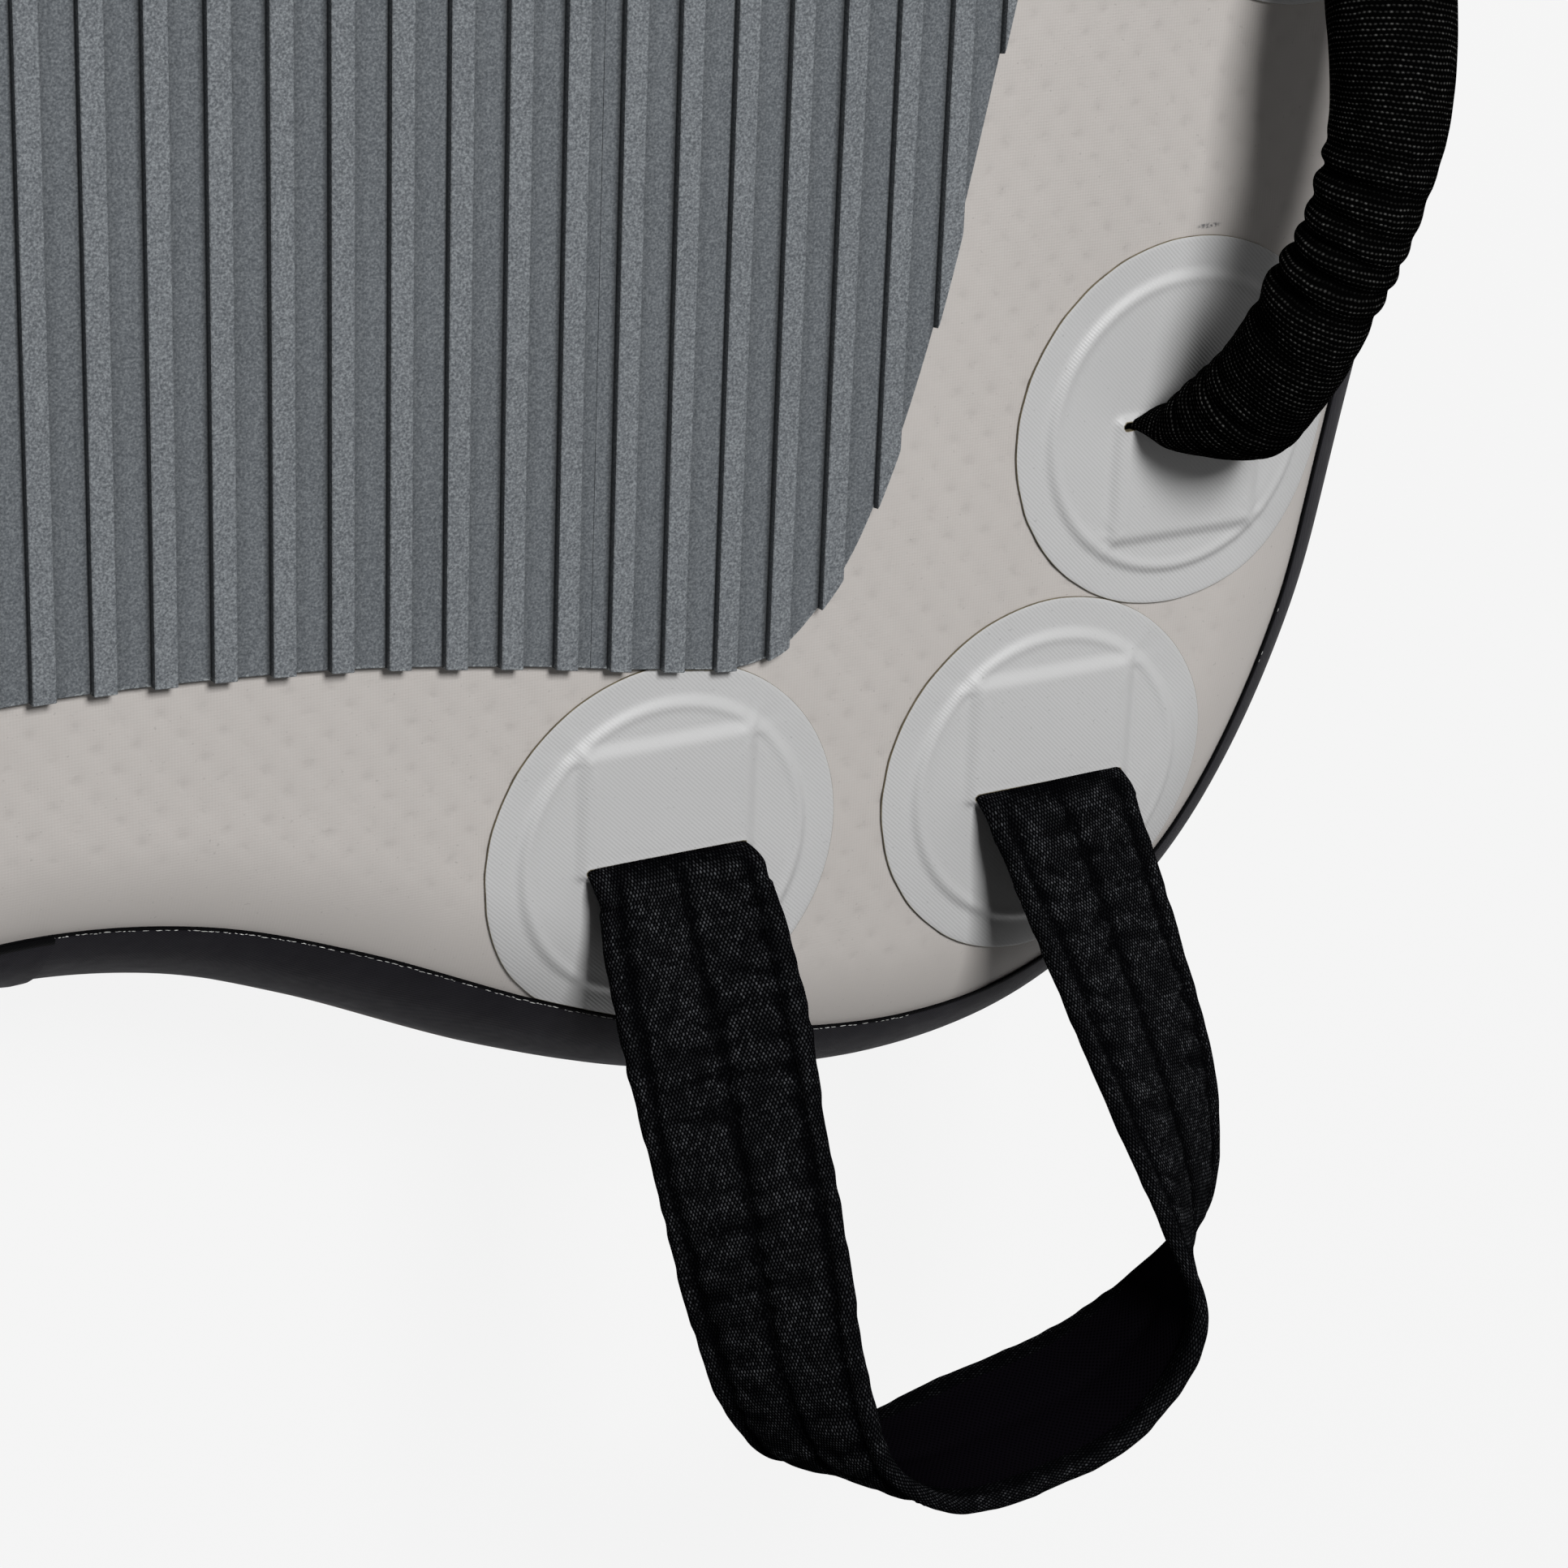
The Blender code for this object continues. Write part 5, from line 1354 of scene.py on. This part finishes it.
def strap_stitches(node, body, stations, seed):
    """Rows of short raised threads, each end sunk in the cloth."""
    length = stations[3]
    turn = np.linspace(0, 2 * math.pi, 6, endpoint=False)
    steps = np.array([0.0, 0.18, 0.5, 0.82, 1.0]) * STITCH_LENGTH
    fat = np.array([0.4, 0.9, 1.0, 0.9, 0.4])[:, None] * STITCH_RADIUS
    sinks = np.array([-0.0003, 0.00002, 0.00012, 0.00002, -0.0003])
    tubes = []
    for row in STITCH_ROWS:
        for start in np.arange(0.014, length[-1] - 0.014, STITCH_PITCH):
            at = start + steps
            face = STRAP_DEPTH + strap_pillow(np.full(len(at), row), at, seed) + sinks
            where = [sampled(field, length, at) for field in stations[:3]]
            tubes.append(laid(where, row + np.cos(turn) * fat, face[:, None] + np.sin(turn) * fat))
    thread_piece(node + "_stitches", tubes, "woven_cover", body, "thread")


# Tube handles


def handle_stations(ends, side):
    """The sleeve's line: straight up out of its aft slit, over the arch and down into the forward slit."""
    start = np.array([side * ends[0][0], ends[0][1], HULL_THICKNESS])
    run = np.array([side * ends[1][0], ends[1][1], HULL_THICKNESS]) - start
    share = np.linspace(0, 1, 400)[:, None]
    climb = SWAY_RISE + (ARCH_HEIGHT - SWAY_RISE) * np.sin(math.pi * share) ** ARCH_POWER
    arch = start + run * (1 - np.cos(math.pi * share)) / 2 + climb * [0, 0, 1]
    stem = np.linspace(0.0006, SWAY_RISE, 30)[:-1, None] * [0, 0, 1]
    line = spaced(np.vstack([start + stem, arch, start + run + stem[::-1]]), SLEEVE_STATIONS)
    ahead = unit(np.gradient(line, axis=0))
    run_way = unit(run)
    across = np.array([run_way[1], -run_way[0], 0.0])
    length = run_of(line)
    turned = smooth(np.minimum(length, length[-1] - length), 0.0, 0.030)[:, None]
    wide = square_to(unit(np.array([1.0, 0.0, 0.0]) * (1 - turned) + across * turned), ahead)
    return line, wide, unit(np.cross(ahead, wide)), length


def sleeve_folds(theta, length, total, seed):
    """Folds of the gathered cloth: deep on the inboard side of the aft rise, small ones nearer the roots."""
    from_end = np.minimum(length, total - length)
    facing = 0.5 + 0.5 * np.cos(theta - 3.45)
    rings = smooth(length, 0.060, 0.074) * (1 - smooth(length, 0.118, 0.136))
    beat = length / 0.0098 + 0.16 * np.sin(theta + seed) + 0.75 * wander(length / 0.021, seed)
    beat = beat + 0.16 * rumple(length / 0.011, 3 + 1.3 * np.cos(theta), seed + 2)
    ridge = 0.38 - np.abs(np.cos(math.pi * beat)) ** 2.6
    patchy = 0.45 + 0.55 * smooth(rumple(length / 0.012, 3 + 1.6 * np.cos(theta + 0.6), seed + 3), -0.7, 0.3)
    deep = 0.0032 * ridge * patchy * rings * (0.20 + 0.80 * facing**1.5)
    lower = smooth(from_end, 0.014, 0.024) * (1 - smooth(from_end, 0.044, 0.056))
    small = 0.6 - np.abs(np.cos(math.pi * (length / 0.0078 + 0.35 * np.sin(theta + 2.1 * seed)))) ** 3
    uneven = 0.4 + 0.6 * smooth(rumple(length / 0.010, 5 + theta, seed + 8), -0.5, 0.4)
    low = 0.0013 * small * lower * facing**2 * uneven
    fine = rumple(length / 0.0055, 9 + 3 * np.cos(theta), seed + 5) * 0.00018
    calm = 0.00050 * rumple(length / 0.020, 5 + 1.8 * np.sin(theta), seed + 6) * smooth(from_end, 0.01, 0.04)
    return deep + low + calm + fine * (0.4 + rings)


def inset(a, b, depth):
    """The same section, this much smaller all round."""
    share = np.maximum(1 - depth / np.maximum(np.hypot(a, b), 1e-6), 0.3)
    return a * share, b * share


def tube_handle(pair, label, side):
    """Sleeve, foam and webbing of one handle, the first two with the same folds."""
    node = f"{pair}_{label}_handle"
    body = ("hull", node, (0, 0, HULL_THICKNESS + 0.002), (0, 0, HULL_THICKNESS + 0.030))
    stations = handle_stations(HANDLE_ENDS[pair], side)
    length = stations[3]
    total = length[-1]
    from_end = np.minimum(length, total - length)[:, None]
    theta = np.linspace(0, 2 * math.pi, SLEEVE_AROUND, endpoint=False)
    lengths = np.array(SLEEVE_LENGTHS) * total / SLEEVE_LENGTHS[-1]
    fine = spline(np.column_stack([lengths, SLEEVE_RADII, SLEEVE_SHIFTS]))
    radius, shift = sampled(fine[:, 1:], fine[:, 0], length).T[:, :, None]
    half_width = MOUTH_HALF + (radius - MOUTH_HALF) * smooth(from_end, 0.008, 0.050)
    half_depth = MOUTH_DEPTH + (radius - MOUTH_DEPTH) * smooth(from_end, -0.004, 0.040)
    cosine, sine = side * np.cos(theta)[None, :], np.sin(theta)[None, :]
    boxy = 1 - (0.39 + 0.11 * cosine) * (1 - smooth(from_end, 0.0, 0.05))
    a = np.sign(cosine) * np.abs(cosine) ** boxy * half_width
    b = np.sign(sine) * np.abs(sine) ** boxy * half_depth
    outboard = 0.5 + 0.5 * a / half_width
    near_root = smooth(from_end, 0.0, 0.008) * (1 - smooth(from_end, 0.012, 0.036))
    a = a + shift + 0.0040 * (1 - smooth(from_end, 0.003, 0.034)) * outboard**2
    b = b - 0.0004 * near_root * outboard**2 * np.clip(-sine, 0, 1) ** 0.6
    b = b + 0.0055 * near_root * (1 - outboard) * np.clip(sine, 0, 1)
    folds = sleeve_folds(theta[None, :], length[:, None], total, SLEEVE_SEEDS[pair] + (0 if side > 0 else 31))
    pull = 1 + folds / np.maximum(np.hypot(a, b), 0.004)
    a, b = a * pull, b * pull

    def placed(rows, a, b):
        return laid([field[rows] for field in stations[:3]], side * a, b)

    every = np.arange(SLEEVE_STATIONS)
    back = every[::-1]
    points = np.concatenate([placed(every, a, b), placed(back, *inset(a[back], b[back], SLEEVE_CLOTH))])
    run = np.concatenate([length, length[::-1], [0]])
    round_it = np.arange(SLEEVE_AROUND + 1) * (2 * math.pi * SLEEVE_RADIUS / SLEEVE_AROUND)
    # The mark paints sheen on the fold crests and shade in the folds of the outer cloth, and none on the
    # inner.
    sleeve = tube_piece(
        node + "_cloth",
        points,
        "woven_cover",
        body,
        [node + "_sleeve"],
        looped=True,
        weave=(run, round_it),
        marks={"painted_sheen": np.concatenate([smooth(folds, -0.0012, 0.0004), np.zeros(folds.shape)])},
        finish="sleeve_weave",
    )
    rows = np.nonzero(from_end[:, 0] > 0.040)[0][::2]
    outside = placed(rows, *inset(a[rows], b[rows], SLEEVE_CLOTH + 0.0003))
    hollow = placed(rows[::-1], (np.cos(theta) * 0.0105)[None, :], (np.sin(theta) * 0.0030)[None, :])
    foam = np.concatenate([outside, hollow])
    tube_piece(node + "_foam_tube", foam, "handle_foam", body, [node + "_foam"], looped=True)
    depth = 0.0002 + 0.0008 * smooth(from_end, 0.001, 0.010)
    ribbon(node + "_core", stations, 0.0085, depth, body, node + "_webbing")


# D-rings


def d_ring(label, side):
    """The ring's bent wire on its patch, with its keeper."""
    node = f"d_ring_{label}"
    x, y = side * RING_PLACE[0], RING_PLACE[1]
    round_patch(node + "_patch", (x, y))
    place = np.array(Matrix.Translation((x, y, RING_GROUND)) @ Matrix.Rotation(RING_TILT, 4, "X"))
    corner = []
    for k in np.linspace(0, math.pi / 2, 8):
        corner.append((RING_HALF_WIDTH - RING_CORNER * (1 - math.sin(k)), RING_CORNER * (1 - math.cos(k))))
    bow = RING_REACH - RING_LEG
    arc = [(RING_HALF_WIDTH * math.cos(t), RING_LEG + bow * math.sin(t)) for t in np.linspace(0, math.pi, 60)]
    path = np.array([(0.0, 0.0), *corner, *arc, *[(-x, y) for x, y in corner[::-1]]])
    path = spaced(path, 200, closed=True)
    flat = np.column_stack([path, np.full(len(path), RING_AXIS_RISE)])
    ahead = unit(np.roll(flat, -1, axis=0) - np.roll(flat, 1, axis=0))
    out = np.column_stack([ahead[:, 1], -ahead[:, 0], np.zeros(len(path))])
    up = np.tile([0.0, 0.0, 1.0], (len(path), 1))
    turn = np.linspace(0, 2 * math.pi, 20, endpoint=False)
    wire = laid((flat, out, up), (np.cos(turn) * RING_WIRE)[None, :], (np.sin(turn) * RING_WIRE)[None, :])
    tube_piece(node + "_wire", moved(wire, place), "steel", f"{label}_d_ring", [node + "_ring"], looped=True)
    keeper(node, place)


def moved(points, place):
    """The points, turned and shifted by this matrix."""
    return points @ place[:3, :3].T + place[:3, 3]


def keeper(node, place):
    """A band of the patch's cloth over the ring's bar, with a flange on each side of it."""
    crown = RING_WIRE + 0.0009
    bend = np.linspace(0.15, math.pi - 0.15, 15)
    arch = [(math.cos(t) * crown, RING_AXIS_RISE + math.sin(t) * crown) for t in bend]
    foot = [(0.0155, 0.0019), (0.0120, 0.0020), (0.0085, 0.0024), (0.0058, 0.0038), (0.0042, 0.0056)]
    line = spaced(spline([*foot, *arch, *[(-y, z) for y, z in foot[::-1]]], fine=4), 60)
    run = unit(np.gradient(line, axis=0))
    up = np.column_stack([run[:, 1], -run[:, 0]])
    up *= np.sign(up[:, 1:].sum())
    half = KEEPER_HALF
    middle = np.linspace(-half + 0.002, half - 0.002, 12)
    xs = [-half, -half + 0.0004, *middle, half - 0.0004, half, half, -half]
    level = np.array([KEEPER_SHEET - 0.0003, *[KEEPER_SHEET] * 14, KEEPER_SHEET - 0.0003, 0, 0])
    points = np.empty((len(line), len(xs), 3))
    points[:, :, 0] = xs
    points[:, :, 1:] = line[:, None, :] + up[:, None, :] * level[None, :, None]
    marks = {"wall": np.zeros(points.shape[:2])}
    tube_piece(node + "_keeper_band", moved(points, place), "patch_fabric", "hull", marks=marks)


# Inflation valve


def valve():
    """The cap's knurled lid and the grip across it."""
    low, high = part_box("valve_cap")
    x, y = (low.x + high.x) / 2, (low.y + high.y) / 2
    # Radius, height and depth of the ridges at each station of the lid
    profile = [
        (0.0200, low.z, 0),
        (0.0215, low.z, 0),
        (0.0222, low.z + 0.0006, CAP_RIDGE_DEPTH),
        (CAP_RADIUS, low.z + 0.0016, CAP_RIDGE_DEPTH),
        (CAP_RADIUS, CAP_TOP - 0.0021, CAP_RIDGE_DEPTH),
        (0.0222, CAP_TOP - 0.0009, CAP_RIDGE_DEPTH),
        (0.0214, CAP_TOP - 0.0002, 0.0002),
        (0.0205, CAP_TOP, 0),
        (0.0188, CAP_TOP, 0),
        (0.0184, CAP_TOP - 0.0004, 0),
        (0.0180, CAP_TOP - 0.0006, 0),
        (0.0120, CAP_TOP - 0.0006, 0),
        (0.0060, CAP_TOP - 0.0006, 0),
    ]
    radius, height, ridge = np.array(profile).T[:, :, None]
    turn = np.linspace(0, 2 * math.pi, 240, endpoint=False)
    radius = radius - (0.5 + 0.5 * np.cos(turn * CAP_RIDGES)) * ridge
    points = np.stack([x + radius * np.cos(turn), y + radius * np.sin(turn), height + 0 * radius], axis=2)
    tube_piece("valve_cap_lid", points, "valve_plastic", "valve_cap", ["valve_cap"])
    along = np.linspace(-1, 1, 41)[:, None]
    bulge = np.sqrt(np.clip(1 - np.abs(along) ** 6, 0, 1))
    across = np.array([-1, -1, -0.75, -0.35, 0.35, 0.75, 1, 1])
    rise = np.array([-1.0, 0.55, 0.86, 1.0, 1.0, 0.86, 0.55, -1.0])
    half = GRIP_HALF_WIDTH * (0.55 + 0.45 * bulge) * (1.25 - 0.25 * np.maximum(rise, 0))
    ribs = 0.0003 * np.cos(along * 28) * (rise > 0)
    tall = GRIP_BASE + (high.z - GRIP_BASE) * (rise * 0.5 + 0.5) * (0.45 + 0.55 * bulge)
    lengthways = y + along * GRIP_HALF_LENGTH + 0 * half
    points = np.stack([x + across * half, lengthways, tall - np.abs(ribs)], axis=2)
    tube_piece("valve_cap_grip", points, "valve_plastic", "valve_cap")


def dress_nodes():
    """The finish of each CAD node's own slot, for those that stay as they are."""
    for row in frame["record"]["subparts"]:
        frame["nodes"][row["node"]].material_slots[0].material = MATERIALS[row["material_slot"]]


def build():
    make_studio()
    MATERIALS.update(make_materials())
    dress_nodes()
    skin("deck_skin", "deck_fabric", (DIMPLE_PITCH / 4, DIMPLE_ROW / 2), covered=True)
    skin("bottom_skin", "bottom_fabric", (DIMPLE_PITCH / 2, DIMPLE_ROW))
    rail()
    pad()
    for label, side in SIDES.items():
        patches(label, side)
    for label, side in SIDES.items():
        tail_loop(label, side)
        for pair in HANDLE_ENDS:
            tube_handle(pair, label, side)
        d_ring(label, side)
    valve()


build()
